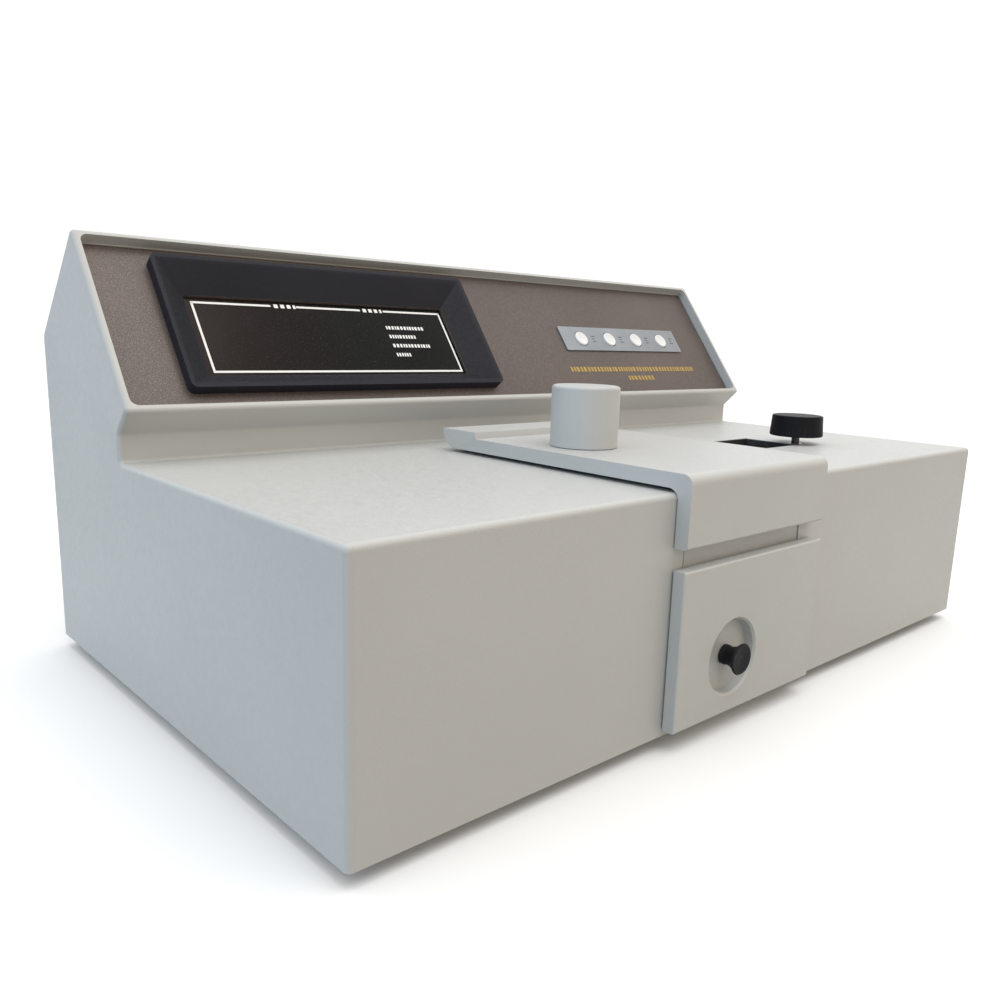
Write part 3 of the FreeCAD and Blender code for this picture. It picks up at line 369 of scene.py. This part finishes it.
def screen_ink(name, colour, roughness=0.45, metallic=0.0):
    """Printed ink with slightly uneven coverage."""
    finish = Finish(name, colour, roughness, metallic)
    cover = finish.remap(finish.noise(2600.0, 2.0), 0.35, 0.7, 0.0, 0.4)
    finish.colour(finish.blend(cover, colour, shade(colour, 0.72)))
    finish.bump(finish.noise(3000.0, 1.0), 0.1, 0.00003)
    return finish.material


def taped_winding(name, colour):
    """Amber tape wound over a coil."""
    finish = Finish(name, colour, 0.35)
    wraps = finish.noise(1.0, 2.0, 0.5, finish.stretch((6.0, 6.0, 420.0)))
    finish.colour(finish.blend(wraps, shade(colour, 0.7), shade(colour, 1.2)))
    finish.bump(wraps, 0.5, 0.0003)
    return finish.material


def laminated_iron(name, colour):
    """Stacked varnished laminations."""
    finish = Finish(name, colour, 0.5, 0.7)
    leaves = finish.noise(1.0, 1.0, 0.5, finish.stretch((4.0, 1600.0, 4.0)))
    finish.colour(finish.blend(leaves, shade(colour, 0.6), shade(colour, 1.2)))
    finish.bump(leaves, 0.5, 0.0002)
    return finish.material


# ------------------------------------------------------------------ geometry


def paint(node, material):
    """Give a CAD node one finish on every slot."""
    mesh = frame["nodes"][node].data
    if not mesh.materials:
        mesh.materials.append(material)
    for index in range(len(mesh.materials)):
        mesh.materials[index] = material


def soften(node, width, segments=2):
    """Round a CAD node's hard edges a little with a modifier."""
    bevel = frame["nodes"][node].modifiers.new("soft_edges", "BEVEL")
    bevel.width = width
    bevel.segments = segments
    bevel.limit_method = "ANGLE"
    bevel.angle_limit = math.radians(40.0)
    bevel.harden_normals = False


def new_piece(name, build, material, body):
    """Make a mesh piece from a builder that fills a bmesh, then ride and slot it."""
    mesh = bpy.data.meshes.new(name)
    bm = bmesh.new()
    build(bm)
    bmesh.ops.recalc_face_normals(bm, faces=bm.faces)
    bm.to_mesh(mesh)
    bm.free()
    piece = bpy.data.objects.new(name, mesh)
    bpy.context.scene.collection.objects.link(piece)
    mesh.materials.append(material)
    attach(piece, body)


class Face:
    """The outer face of a flat CAD plate that lies along the sloping front."""

    def __init__(self, node):
        low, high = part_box(node)
        press = Vector(JOINTS["key_one_press"]["axis"])
        self.normal = -press.normalized()
        self.up = Vector((0.0, self.normal.z, -self.normal.y))
        depth = high.y - low.y
        rise = high.z - low.z
        run, climb = self.up.y, self.up.z
        self.length = (depth * run - rise * climb) / (run * run - climb * climb)
        self.foot = Vector((0.0, low.y, high.z - self.length * climb))

    def at(self, x, along, out=0.0):
        """A point x from the centre plane, along up the slope from the plate's foot, out from its face."""
        point = self.foot + self.up * along + self.normal * out
        return Vector((x, point.y, point.z))


def add_prism(bm, outline, lift):
    """A closed prism on a planar outline, raised by the vector lift, its top drawn in slightly."""
    centre = sum(outline, Vector()) / len(outline)
    base = [bm.verts.new(point) for point in outline]
    top = [bm.verts.new(centre + (point - centre) * 0.985 + lift) for point in outline]
    bm.faces.new(base)
    bm.faces.new(top)
    count = len(base)
    for i in range(count):
        bm.faces.new((base[i], base[(i + 1) % count], top[(i + 1) % count], top[i]))


def rounded_outline(face, x0, x1, low, high, radius, out, steps=4):
    """The outline of a round-cornered rectangle on a face."""
    radius = min(radius, (x1 - x0) / 2.0 * 0.98, (high - low) / 2.0 * 0.98)
    corners = (
        (x1 - radius, high - radius, 0.0),
        (x0 + radius, high - radius, 90.0),
        (x0 + radius, low + radius, 180.0),
        (x1 - radius, low + radius, 270.0),
    )
    outline = []
    for cx, cy, start in corners:
        for step in range(steps + 1):
            angle = math.radians(start + 90.0 * step / steps)
            outline.append(face.at(cx + radius * math.cos(angle), cy + radius * math.sin(angle), out))
    return outline


def add_bar(bm, face, x0, x1, low, high, out, lift, radius=0.3 * MM):
    """A thin round-cornered bar on a face."""
    add_prism(bm, rounded_outline(face, x0, x1, low, high, radius, out), face.normal * lift)


def dash_widths(count, seed):
    """Repeatable widths for a row of printed dashes."""
    widths = []
    value = seed
    for _ in range(count):
        value = (value * 37 + 11) % 101
        widths.append(0.7 + 0.6 * value / 101.0)
    return widths


def add_dash_row(bm, face, start, along, count, pitch, height, out, lift, seed):
    """A row of small upright marks in place of a printed legend."""
    x = start
    for width in dash_widths(count, seed):
        step = pitch * width
        add_bar(bm, face, x, x + step * DASH_FILL, along - height / 2.0, along + height / 2.0,
                out, lift, DASH_CORNER)
        x += step


# ---------------------------------------------------------------- properties


def colour_property(name, description, default):
    return FloatVectorProperty(
        name=name, description=description, default=default,
        subtype="COLOR", size=3, min=0.0, max=2.0)


def length_property(name, description, default):
    return FloatProperty(
        name=name, description=description, default=default, unit="LENGTH", subtype="DISTANCE")


class SpectroFinishes(PropertyGroup):
    """Colours of the visible finishes."""

    enamel: colour_property("Case enamel", "Paint on the cover, lid, cap and lower panel",
                            (0.50, 0.50, 0.485))
    fascia: colour_property("Fascia", "Metallic brown of the sloping panel", (0.098, 0.074, 0.067))
    bezel: colour_property("Bezel", "Textured plastic round the display", (0.013, 0.013, 0.018))
    strip: colour_property("Key strip", "Silver strip behind the keys", (0.36, 0.39, 0.43))
    keys: colour_property("Keys", "White key caps", (0.78, 0.78, 0.79))
    black: colour_property("Black plastic", "Knobs, inlet and switch", (0.012, 0.012, 0.014))
    gilt: colour_property("Gilt ink", "Gold print on the fascia", (0.50, 0.34, 0.10))
    white_ink: colour_property("White ink", "Print on the display window and dial", (0.88, 0.88, 0.88))


class SpectroMarkings(PropertyGroup):
    """Sizes and counts of the printed markings, measured on the face that carries them."""

    line_width: length_property("Line width", "Width of the display frame line", 1.1 * MM)
    line_left: length_property("Frame left", "Left edge of the frame line", -166.2 * MM)
    line_right: length_property("Frame right", "Right edge of the frame line", -26.0 * MM)
    line_low: length_property("Frame low", "Frame line above the window's foot", 5.8 * MM)
    line_high: length_property("Frame high", "Top of the frame line above the window's foot", 43.9 * MM)
    legend_left: length_property("Legend left", "Where the legend rows start", -65.0 * MM)
    legend_height: length_property("Legend height", "Height of a legend row", 2.1 * MM)
    gilt_left: length_property("Gilt left", "Left end of the upper gilt row", 57.3 * MM)
    gilt_low_left: length_property("Gilt low left", "Left end of the lower gilt row", 107.0 * MM)
    film: length_property("Ink film", "Thickness of printed ink", 0.08 * MM)
    dial_marks: IntProperty(name="Dial marks", description="Graduations on the wavelength dial", default=81)


class SpectroStudio(PropertyGroup):
    """Camera and light."""

    camera_place: FloatVectorProperty(
        name="Camera place", description="Camera position", default=(-0.33256, -0.32046, 0.15971),
        subtype="TRANSLATION", unit="LENGTH", size=3, precision=5)
    camera_ahead: FloatVectorProperty(
        name="Camera ahead", description="Direction the camera looks in",
        default=(0.66303, 0.72025, -0.20402), subtype="DIRECTION", size=3)
    camera_up: FloatVectorProperty(
        name="Camera up", description="Direction that is up in the frame",
        default=(0.11397, 0.17223, 0.97844), subtype="DIRECTION", size=3)
    lens: FloatProperty(name="Lens", description="Focal length in millimetres", default=31.658)
    key_power: FloatProperty(name="Key power", description="Overhead softbox", default=5.0, unit="POWER")
    side_power: FloatProperty(name="Side power", description="Cool fill from the left", default=0.8,
                              unit="POWER")
    room_front: colour_property("Room front", "Light from the camera's side", (0.78, 0.65, 0.48))
    room_back: colour_property("Room back", "Light from behind the object", (1.05, 1.05, 1.05))
    room_left: colour_property("Room left", "Light from the left", (0.62, 0.98, 1.36))
    room_below: colour_property("Room below", "Light from below the bench", (0.32, 0.30, 0.27))
    room_above: colour_property("Room above", "Light from overhead", (1.36, 1.36, 1.35))
    floor_size: length_property("Floor size", "Side of the studio floor", 8.0)


def settings():
    scene = bpy.context.scene
    return scene.spectro_finishes, scene.spectro_markings, scene.spectro_studio


# ----------------------------------------------------------------- operators


class SPECTRO_OT_case(Operator):
    """Finish the cover, the lid, the cap, the lower panel and the sill in textured enamel"""

    bl_idname = "spectro.case"
    bl_label = "Case enamel"

    def execute(self, context):
        finishes, _, _ = settings()
        enamel = textured_paint("case_enamel", tuple(finishes.enamel))
        for node in ("cover_shell", "cover_hood", "cover_cheeks", "sample_lid", "tube_cap", "front_panel",
                     "front_sill"):
            paint(node, enamel)
        soften("tube_cap", 0.5 * MM)
        return {"FINISHED"}


class SPECTRO_OT_display(Operator):
    """Finish the sloping fascia, its bezel, window, board and digit modules"""

    bl_idname = "spectro.display"
    bl_label = "Display finishes"

    def execute(self, context):
        finishes, _, _ = settings()
        paint("display_panel", speckled_metallic("fascia_metallic", tuple(finishes.fascia)))
        bezel = moulded_plastic("bezel_plastic", tuple(finishes.bezel), 0.50, 1400.0, 0.00018, 0.14)
        paint("display_bezel", bezel)
        paint("display_window", smoked_glass("display_acrylic", (0.006, 0.006, 0.006)))
        paint("display_board", circuit_board("front_board_mask", (0.02, 0.10, 0.05)))
        paint("digit_modules", moulded_plastic("digit_plastic", (0.02, 0.015, 0.015), 0.4, 900.0, 0.00008))
        soften("display_bezel", 0.6 * MM, 3)
        return {"FINISHED"}


class SPECTRO_OT_window_print(Operator):
    """Print the white frame line and the legend marks on the display window"""

    bl_idname = "spectro.window_print"
    bl_label = "Window print"

    def execute(self, context):
        finishes, marks, _ = settings()
        face = Face("display_window")
        ink = screen_ink("window_ink", tuple(finishes.white_ink))
        left, right = marks.line_left, marks.line_right
        low, high = marks.line_low, marks.line_high
        width = marks.line_width

        def line(bm, x0, x1, y0, y1):
            add_bar(bm, face, x0, x1, y0, y1, INK_LIFT, marks.film)

        def frame_line(bm):
            line(bm, left, left + width, low, high)
            line(bm, right - width, right, low, high)
            line(bm, left, right, low, low + width)
            x = left
            for start, end in TITLE_GAPS:
                line(bm, x, start, high - width, high)
                x = end
            line(bm, x, right, high - width, high)

        def legends(bm):
            for start, _ in TITLE_GAPS:
                add_dash_row(bm, face, start + TITLE_MARGIN, high - width / 2.0, TITLE_DASHES,
                             TITLE_PITCH, marks.legend_height, INK_LIFT, marks.film, 5)
            for seed, (along, count) in enumerate(LEGEND_ROWS, 3):
                add_dash_row(bm, face, marks.legend_left, along, count, LEGEND_PITCH,
                             marks.legend_height, INK_LIFT, marks.film, seed)

        new_piece("window_frame_line", frame_line, ink, "case")
        new_piece("window_legends", legends, ink, "case")
        return {"FINISHED"}


class SPECTRO_OT_fascia_print(Operator):
    """Print two rows of plain gilt marks on the fascia below the keys"""

    bl_idname = "spectro.fascia_print"
    bl_label = "Fascia print"

    def execute(self, context):
        finishes, marks, _ = settings()
        face = Face("display_panel")
        gilt = screen_ink("gilt_ink", tuple(finishes.gilt), 0.35, 0.6)
        rows = (
            (marks.gilt_left, 19.5 * MM, 44, 3.4 * MM, 9),
            (marks.gilt_low_left, 12.9 * MM, 8, 3.2 * MM, 17),
        )

        def rule(bm):
            for start, along, count, height, seed in rows:
                add_dash_row(bm, face, start, along, count, GILT_PITCH, height, INK_LIFT, marks.film, seed)

        new_piece("fascia_gilt_rule", rule, gilt, "case")
        return {"FINISHED"}


class SPECTRO_OT_keys(Operator):
    """Finish the key strip and the four keys, and print their symbols"""

    bl_idname = "spectro.keys"
    bl_label = "Keys"

    def execute(self, context):
        finishes, marks, _ = settings()
        aluminium = brushed_metal("strip_aluminium", tuple(finishes.strip), 0.42, (12.0, 1500.0, 1500.0))
        paint("key_strip", aluminium)
        caps = key_plastic("key_cap_plastic", tuple(finishes.keys))
        face = Face("key_strip")
        ink = screen_ink("strip_ink", (0.10, 0.11, 0.13))
        middle = face.length / 2.0

        def symbols(bm):
            for number in KEY_NUMBERS:
                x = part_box("key_%d" % number)[1].x + SYMBOL_GAP
                for length, height in SYMBOL_BARS:
                    add_bar(bm, face, x, x + length, middle + height - SYMBOL_HALF_HEIGHT,
                            middle + height + SYMBOL_HALF_HEIGHT, INK_LIFT, marks.film)

        for number in KEY_NUMBERS:
            paint("key_%d" % number, caps)
        new_piece("key_symbols", symbols, ink, "case")
        return {"FINISHED"}


def sight_lining(bm):
    """A thin dark sleeve inside the sight opening, from the glass up to just under the deck, which paints
    shade on the opening's walls.
    """
    low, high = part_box("wavelength_window")
    left = low.x + GLASS_LAP + SHADE_SLEEVE_CLEARANCE
    right = high.x - GLASS_LAP_RIGHT - SHADE_SLEEVE_CLEARANCE
    front = low.y + GLASS_LAP + SHADE_SLEEVE_CLEARANCE
    back = high.y - GLASS_LAP - SHADE_SLEEVE_CLEARANCE
    rings = []
    for z in (high.z, DECK_TOP - SHADE_SLEEVE_DROP):
        for inset in (0.0, SHADE_SLEEVE_THICKNESS):
            corners = ((left + inset, front + inset), (right - inset, front + inset),
                       (right - inset, back - inset), (left + inset, back - inset))
            rings.append([bm.verts.new((x, y, z)) for x, y in corners])
    outer_low, inner_low, outer_top, inner_top = rings
    for first, second in ((outer_low, outer_top), (outer_top, inner_top), (inner_top, inner_low),
                          (inner_low, outer_low)):
        for i in range(4):
            j = (i + 1) % 4
            bm.faces.new((first[i], first[j], second[j], second[i]))


class SPECTRO_OT_dial(Operator):
    """Finish the wavelength dial and engrave its graduations and numbers"""

    bl_idname = "spectro.dial"
    bl_label = "Wavelength dial"

    def execute(self, context):
        finishes, marks, _ = settings()
        paint("wavelength_dial", moulded_plastic("dial_black", (0.02, 0.02, 0.022), 0.4, 1400.0, 0.00006))
        paint("wavelength_window", clear_glass("sight_glass", (0.16, 0.16, 0.16), 1.08))
        ink = screen_ink("dial_ink", tuple(finishes.white_ink))
        # A black sleeve standing in for the shade on the walls of the sight opening.
        shade_sleeve_finish = rubber("sight_shade_black", (0.02, 0.02, 0.02))
        new_piece("sight_lining", sight_lining, shade_sleeve_finish, "case")
        low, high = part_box("wavelength_dial")
        centre = (low + high) / 2.0
        rim = (high.x - low.x) / 2.0
        top = high.z - DIAL_FACE_DROP

        def dial_angle(step, steps):
            """The angle of one of evenly spaced steps over the dial's sweep."""
            return math.radians(-DIAL_SWEEP / 2.0 + DIAL_SWEEP * step / steps)

        def graduations(bm):
            for i in range(marks.dial_marks):
                angle = dial_angle(i, marks.dial_marks - 1)
                reach = SHORT_TICK
                if i % 10 == 0:
                    reach = LONG_TICK
                elif i % 5 == 0:
                    reach = MIDDLE_TICK
                outward = Vector((math.cos(angle), math.sin(angle), 0.0))
                side = Vector((-math.sin(angle), math.cos(angle), 0.0)) * TICK_HALF_WIDTH
                outer = centre + outward * (rim - DIAL_MARGIN)
                inner = centre + outward * (rim - DIAL_MARGIN - reach)
                ring = [outer + side, outer - side, inner - side, inner + side]
                add_prism(bm, [Vector((p.x, p.y, top)) for p in ring], Vector((0.0, 0.0, TICK_FILM)))

        new_piece("dial_graduations", graduations, ink, "dial")
        for i, nanometres in enumerate(DIAL_NUMBERS):
            angle = dial_angle(i, len(DIAL_NUMBERS) - 1)
            curve = bpy.data.curves.new("dial_number_%d" % i, "FONT")
            curve.body = str(nanometres)
            curve.size = NUMBER_SIZE
            curve.align_x = "CENTER"
            curve.align_y = "CENTER"
            curve.extrude = NUMBER_HALF_FILM
            number = bpy.data.objects.new("dial_number_%d" % i, curve)
            bpy.context.scene.collection.objects.link(number)
            radius = rim - NUMBER_INSET
            number.location = (centre.x + radius * math.cos(angle), centre.y + radius * math.sin(angle),
                               top + NUMBER_LIFT)
            number.rotation_euler = (0.0, 0.0, angle - math.pi / 2.0)
            curve.materials.append(ink)
            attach(number, "dial")
        return {"FINISHED"}


class SPECTRO_OT_digits(Operator):
    """Add the unlit seven-segment bars to the digit modules"""

    bl_idname = "spectro.digits"
    bl_label = "Digits"

    def execute(self, context):
        face = Face("display_board")
        low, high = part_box("digit_modules")
        width = (high.x - low.x - (MODULE_COUNT - 1) * MODULE_GAP) / MODULE_COUNT
        segment = Finish("segment_lens", (0.10, 0.02, 0.02), 0.3)
        segment.colour(segment.blend(segment.noise(700.0), (0.08, 0.018, 0.018), (0.12, 0.03, 0.03)))

        def bar(bm, x0, x1, y0, y1):
            add_bar(bm, face, x0, x1, y0, y1, SEGMENT_OUT, SEGMENT_LIFT, SEGMENT_CORNER)

        def bars(bm):
            for i in range(MODULE_COUNT):
                x0 = low.x + i * MODULE_PITCH + SEGMENT_MARGIN
                x1 = x0 + width - 2.0 * SEGMENT_MARGIN
                for along in LEVEL_SEGMENTS:
                    bar(bm, x0 + SEGMENT_INSET, x1 - SEGMENT_INSET,
                        along - SEGMENT_HALF_WIDTH, along + SEGMENT_HALF_WIDTH)
                for x in (x0, x1):
                    for start in UPRIGHT_SEGMENTS:
                        bar(bm, x - SEGMENT_HALF_WIDTH, x + SEGMENT_HALF_WIDTH, start, start + SEGMENT_LENGTH)

        new_piece("digit_segments", bars, segment.material, "case")
        return {"FINISHED"}


class SPECTRO_OT_controls(Operator):
    """Finish the wavelength knob, the pull knob and their shafts"""

    bl_idname = "spectro.controls"
    bl_label = "Controls"

    def execute(self, context):
        finishes, _, _ = settings()
        black = moulded_plastic("knob_plastic", tuple(finishes.black), 0.42, 1800.0, 0.00008, 0.07)
        for node in ("wavelength_knob", "pull_knob"):
            paint(node, black)
        steel = brushed_metal("ground_steel", (0.10, 0.10, 0.10), 0.35, (1500.0, 1500.0, 30.0))
        paint("knob_shaft", steel)
        bright = brushed_metal("bright_steel", (0.62, 0.62, 0.63), 0.26, (1500.0, 40.0, 1500.0))
        for node in ("pull_rod", "carriage_rails", "hinge_pins", "hinge_brackets", "grating_shaft",
                     "serial_port"):
            paint(node, bright)
        return {"FINISHED"}


class SPECTRO_OT_underside(Operator):
    """Finish the base pan, the rubber feet and the screws"""

    bl_idname = "spectro.underside"
    bl_label = "Underside"

    def execute(self, context):
        paint("base_pan", textured_paint("pan_enamel", (0.20, 0.205, 0.21)))
        paint("rubber_feet", rubber("foot_rubber", (0.018, 0.018, 0.018)))
        paint("case_screws", brushed_metal("zinc_screws", (0.52, 0.52, 0.50), 0.32, (900.0, 900.0, 900.0)))
        return {"FINISHED"}


class SPECTRO_OT_rear(Operator):
    """Finish the rear panel and its fittings"""

    bl_idname = "spectro.rear"
    bl_label = "Rear panel"

    def execute(self, context):
        finishes, _, _ = settings()
        paint("rear_panel", textured_paint("rear_enamel", (0.23, 0.235, 0.24)))
        fitting = moulded_plastic("fitting_plastic", tuple(finishes.black), 0.42, 1200.0, 0.00008)
        for node in ("power_inlet", "fuse_holder", "switch_frame", "switch_rocker", "fan_frame", "fan_rotor"):
            paint(node, fitting)
        return {"FINISHED"}


class SPECTRO_OT_sample_well(Operator):
    """Finish the sample compartment, its carriage, the lid baffle and the beam lenses"""

    bl_idname = "spectro.sample_well"
    bl_label = "Sample compartment"

    def execute(self, context):
        dark = textured_paint("well_black", (0.018, 0.018, 0.018))
        paint("sample_box", dark)
        anodising = moulded_plastic("black_anodising", (0.03, 0.03, 0.033), 0.36, 2000.0, 0.00004)
        paint("cuvette_carriage", anodising)
        paint("lid_baffle", rubber("baffle_foam", (0.02, 0.02, 0.02)))
        paint("beam_lenses", clear_glass("lens_quartz", (0.92, 0.95, 0.97)))
        brass = brushed_metal("turned_brass", (0.55, 0.40, 0.16), 0.30, (1200.0, 60.0, 1200.0))
        for node in ("brass_bushes", "drive_nut"):
            paint(node, brass)
        return {"FINISHED"}


class SPECTRO_OT_optics(Operator):
    """Finish the monochromator, the drive, the lamps and the detector"""

    bl_idname = "spectro.optics"
    bl_label = "Optics"

    def execute(self, context):
        casting = cast_metal("optics_casting", (0.55, 0.56, 0.57))
        for node in ("monochromator_case", "detector_housing", "drive_frame", "sine_bar"):
            paint(node, casting)
        sheet = brushed_metal("optics_sheet", (0.60, 0.61, 0.62), 0.36, (20.0, 900.0, 900.0))
        for node in ("monochromator_cover", "lamp_house"):
            paint(node, sheet)
        mirror = mirror_coat("aluminised_glass", (0.90, 0.90, 0.91))
        for node in ("bench_mirrors", "grating_plate", "lamp_mirror"):
            paint(node, mirror)
        glass = clear_glass("lamp_glass", (0.95, 0.95, 0.93))
        for node in ("halogen_lamp", "deuterium_lamp"):
            paint(node, glass)
        paint("photodiode", moulded_plastic("sensor_black", (0.02, 0.02, 0.02), 0.4, 900.0, 0.00005))
        return {"FINISHED"}


class SPECTRO_OT_electronics(Operator):
    """Finish the boards, their components and the mains transformer"""

    bl_idname = "spectro.electronics"
    bl_label = "Electronics"

    def execute(self, context):
        paint("main_board", circuit_board("main_board_mask", (0.015, 0.09, 0.045)))
        paint("board_chips", moulded_plastic("chip_epoxy", (0.015, 0.015, 0.016), 0.45, 900.0, 0.00005))
        paint("transformer_core", laminated_iron("core_iron", (0.20, 0.20, 0.21)))
        paint("transformer_coil", taped_winding("coil_tape", (0.40, 0.26, 0.06)))
        return {"FINISHED"}


def world_blend(tree, axis, start, end, first, second):
    """Fade from one light to another along one axis of the room."""
    reach = tree.nodes.new("ShaderNodeMapRange")
    reach.interpolation_type = "SMOOTHSTEP"
    reach.inputs["From Min"].default_value = start
    reach.inputs["From Max"].default_value = end
    tree.links.new(axis, reach.inputs["Value"])
    return mix_colours(tree, reach.outputs["Result"], first, second)


def studio_world(studio):
    """A white room: warm on the user's side, cool on the left, dim below the bench."""
    world = bpy.data.worlds.new("studio_world")
    world.use_nodes = True
    tree = world.node_tree
    place = tree.nodes.new("ShaderNodeTexCoord")
    split = tree.nodes.new("ShaderNodeSeparateXYZ")
    tree.links.new(place.outputs["Generated"], split.inputs["Vector"])
    light = world_blend(tree, split.outputs["Y"], -0.55, 0.25, studio.room_front, studio.room_back)
    light = world_blend(tree, split.outputs["X"], -0.45, -0.95, light, studio.room_left)
    light = world_blend(tree, split.outputs["Z"], 0.45, 0.85, light, studio.room_above)
    light = world_blend(tree, split.outputs["Z"], -0.02, -0.30, light, studio.room_below)
    tree.links.new(light, tree.nodes["Background"].inputs["Color"])
    return world


def area_light(name, place, aim, size, power, colour):
    """A soft rectangular light at a place, turned to face a point."""
    data = bpy.data.lights.new(name, "AREA")
    data.shape = "RECTANGLE"
    data.size, data.size_y = size
    data.energy = power
    data.color = colour
    lamp = bpy.data.objects.new(name, data)
    bpy.context.scene.collection.objects.link(lamp)
    lamp.location = place
    lamp.rotation_euler = (Vector(aim) - Vector(place)).to_track_quat("-Z", "Y").to_euler()


class SPECTRO_OT_stage(Operator):
    """Set out the pale floor, the soft lights, the world and the camera"""

    bl_idname = "spectro.stage"
    bl_label = "Studio"

    def execute(self, context):
        _, _, studio = settings()
        scene = bpy.context.scene
        half = studio.floor_size / 2.0
        mesh = bpy.data.meshes.new("studio_floor")
        corners = [(-half, -half, 0), (half, -half, 0), (half, half, 0), (-half, half, 0)]
        mesh.from_pydata(corners, [], [(0, 1, 2, 3)])
        floor = bpy.data.objects.new("studio_floor", mesh)
        scene.collection.objects.link(floor)
        paper = Finish("studio_paper", (0.93, 0.93, 0.93), 0.9)
        paper.colour(paper.blend(paper.noise(3.0, 2.0), (0.92, 0.92, 0.92), (0.94, 0.94, 0.94)))
        mesh.materials.append(paper.material)
        floor.visible_diffuse = False
        floor.visible_shadow = False

        scene.world = studio_world(studio)
        area_light("overhead_softbox", place=(0.0, -0.55, 1.30), aim=(0.0, 0.0, 0.10), size=(0.9, 0.9),
                   power=studio.key_power, colour=(1.0, 0.99, 0.97))
        area_light("window_fill", place=(-1.7, -0.35, 0.75), aim=(-0.1, 0.0, 0.10), size=(1.2, 1.0),
                   power=studio.side_power, colour=(0.80, 0.92, 1.0))

        camera_data = bpy.data.cameras.new("studio_camera")
        camera_data.sensor_width = 36.0
        camera_data.lens = studio.lens
        camera_data.shift_x, camera_data.shift_y = CAMERA_SHIFT
        camera_data.clip_start = 0.01
        camera_data.clip_end = 50.0
        camera = bpy.data.objects.new("studio_camera", camera_data)
        scene.collection.objects.link(camera)
        ahead = Vector(studio.camera_ahead).normalized()
        up = Vector(studio.camera_up).normalized()
        right = ahead.cross(up).normalized()
        up = right.cross(ahead)
        turn = Matrix((right, up, -ahead)).transposed()
        camera.matrix_world = Matrix.Translation(Vector(studio.camera_place)) @ turn.to_4x4()
        scene.camera = camera
        scene.view_settings.view_transform = "Standard"
        return {"FINISHED"}


class SPECTRO_PT_builder(Panel):
    """Lists the build steps in the 3D view's sidebar"""

    bl_idname = "SPECTRO_PT_builder"
    bl_label = "Spectrophotometer"
    bl_space_type = "VIEW_3D"
    bl_region_type = "UI"
    bl_category = "Spectrophotometer"

    def draw(self, context):
        layout = self.layout
        for step in STEPS:
            layout.operator(step.bl_idname)
        for group in settings():
            for name in group.bl_rna.properties.keys():
                if name not in {"rna_type", "name"}:
                    layout.prop(group, name)


GROUPS = (SpectroFinishes, SpectroMarkings, SpectroStudio)
STEPS = (
    SPECTRO_OT_case,
    SPECTRO_OT_display,
    SPECTRO_OT_window_print,
    SPECTRO_OT_fascia_print,
    SPECTRO_OT_keys,
    SPECTRO_OT_dial,
    SPECTRO_OT_digits,
    SPECTRO_OT_controls,
    SPECTRO_OT_underside,
    SPECTRO_OT_rear,
    SPECTRO_OT_sample_well,
    SPECTRO_OT_optics,
    SPECTRO_OT_electronics,
    SPECTRO_OT_stage,
)
CLASSES = GROUPS + STEPS + (SPECTRO_PT_builder,)


def register():
    for cls in CLASSES:
        bpy.utils.register_class(cls)
    bpy.types.Scene.spectro_finishes = PointerProperty(type=SpectroFinishes)
    bpy.types.Scene.spectro_markings = PointerProperty(type=SpectroMarkings)
    bpy.types.Scene.spectro_studio = PointerProperty(type=SpectroStudio)


def unregister():
    del bpy.types.Scene.spectro_studio
    del bpy.types.Scene.spectro_markings
    del bpy.types.Scene.spectro_finishes
    for cls in reversed(CLASSES):
        bpy.utils.unregister_class(cls)


def main():
    register()
    for step in STEPS:
        group, name = step.bl_idname.split(".")
        getattr(getattr(bpy.ops, group), name)()


if __name__ == "__main__":
    main()
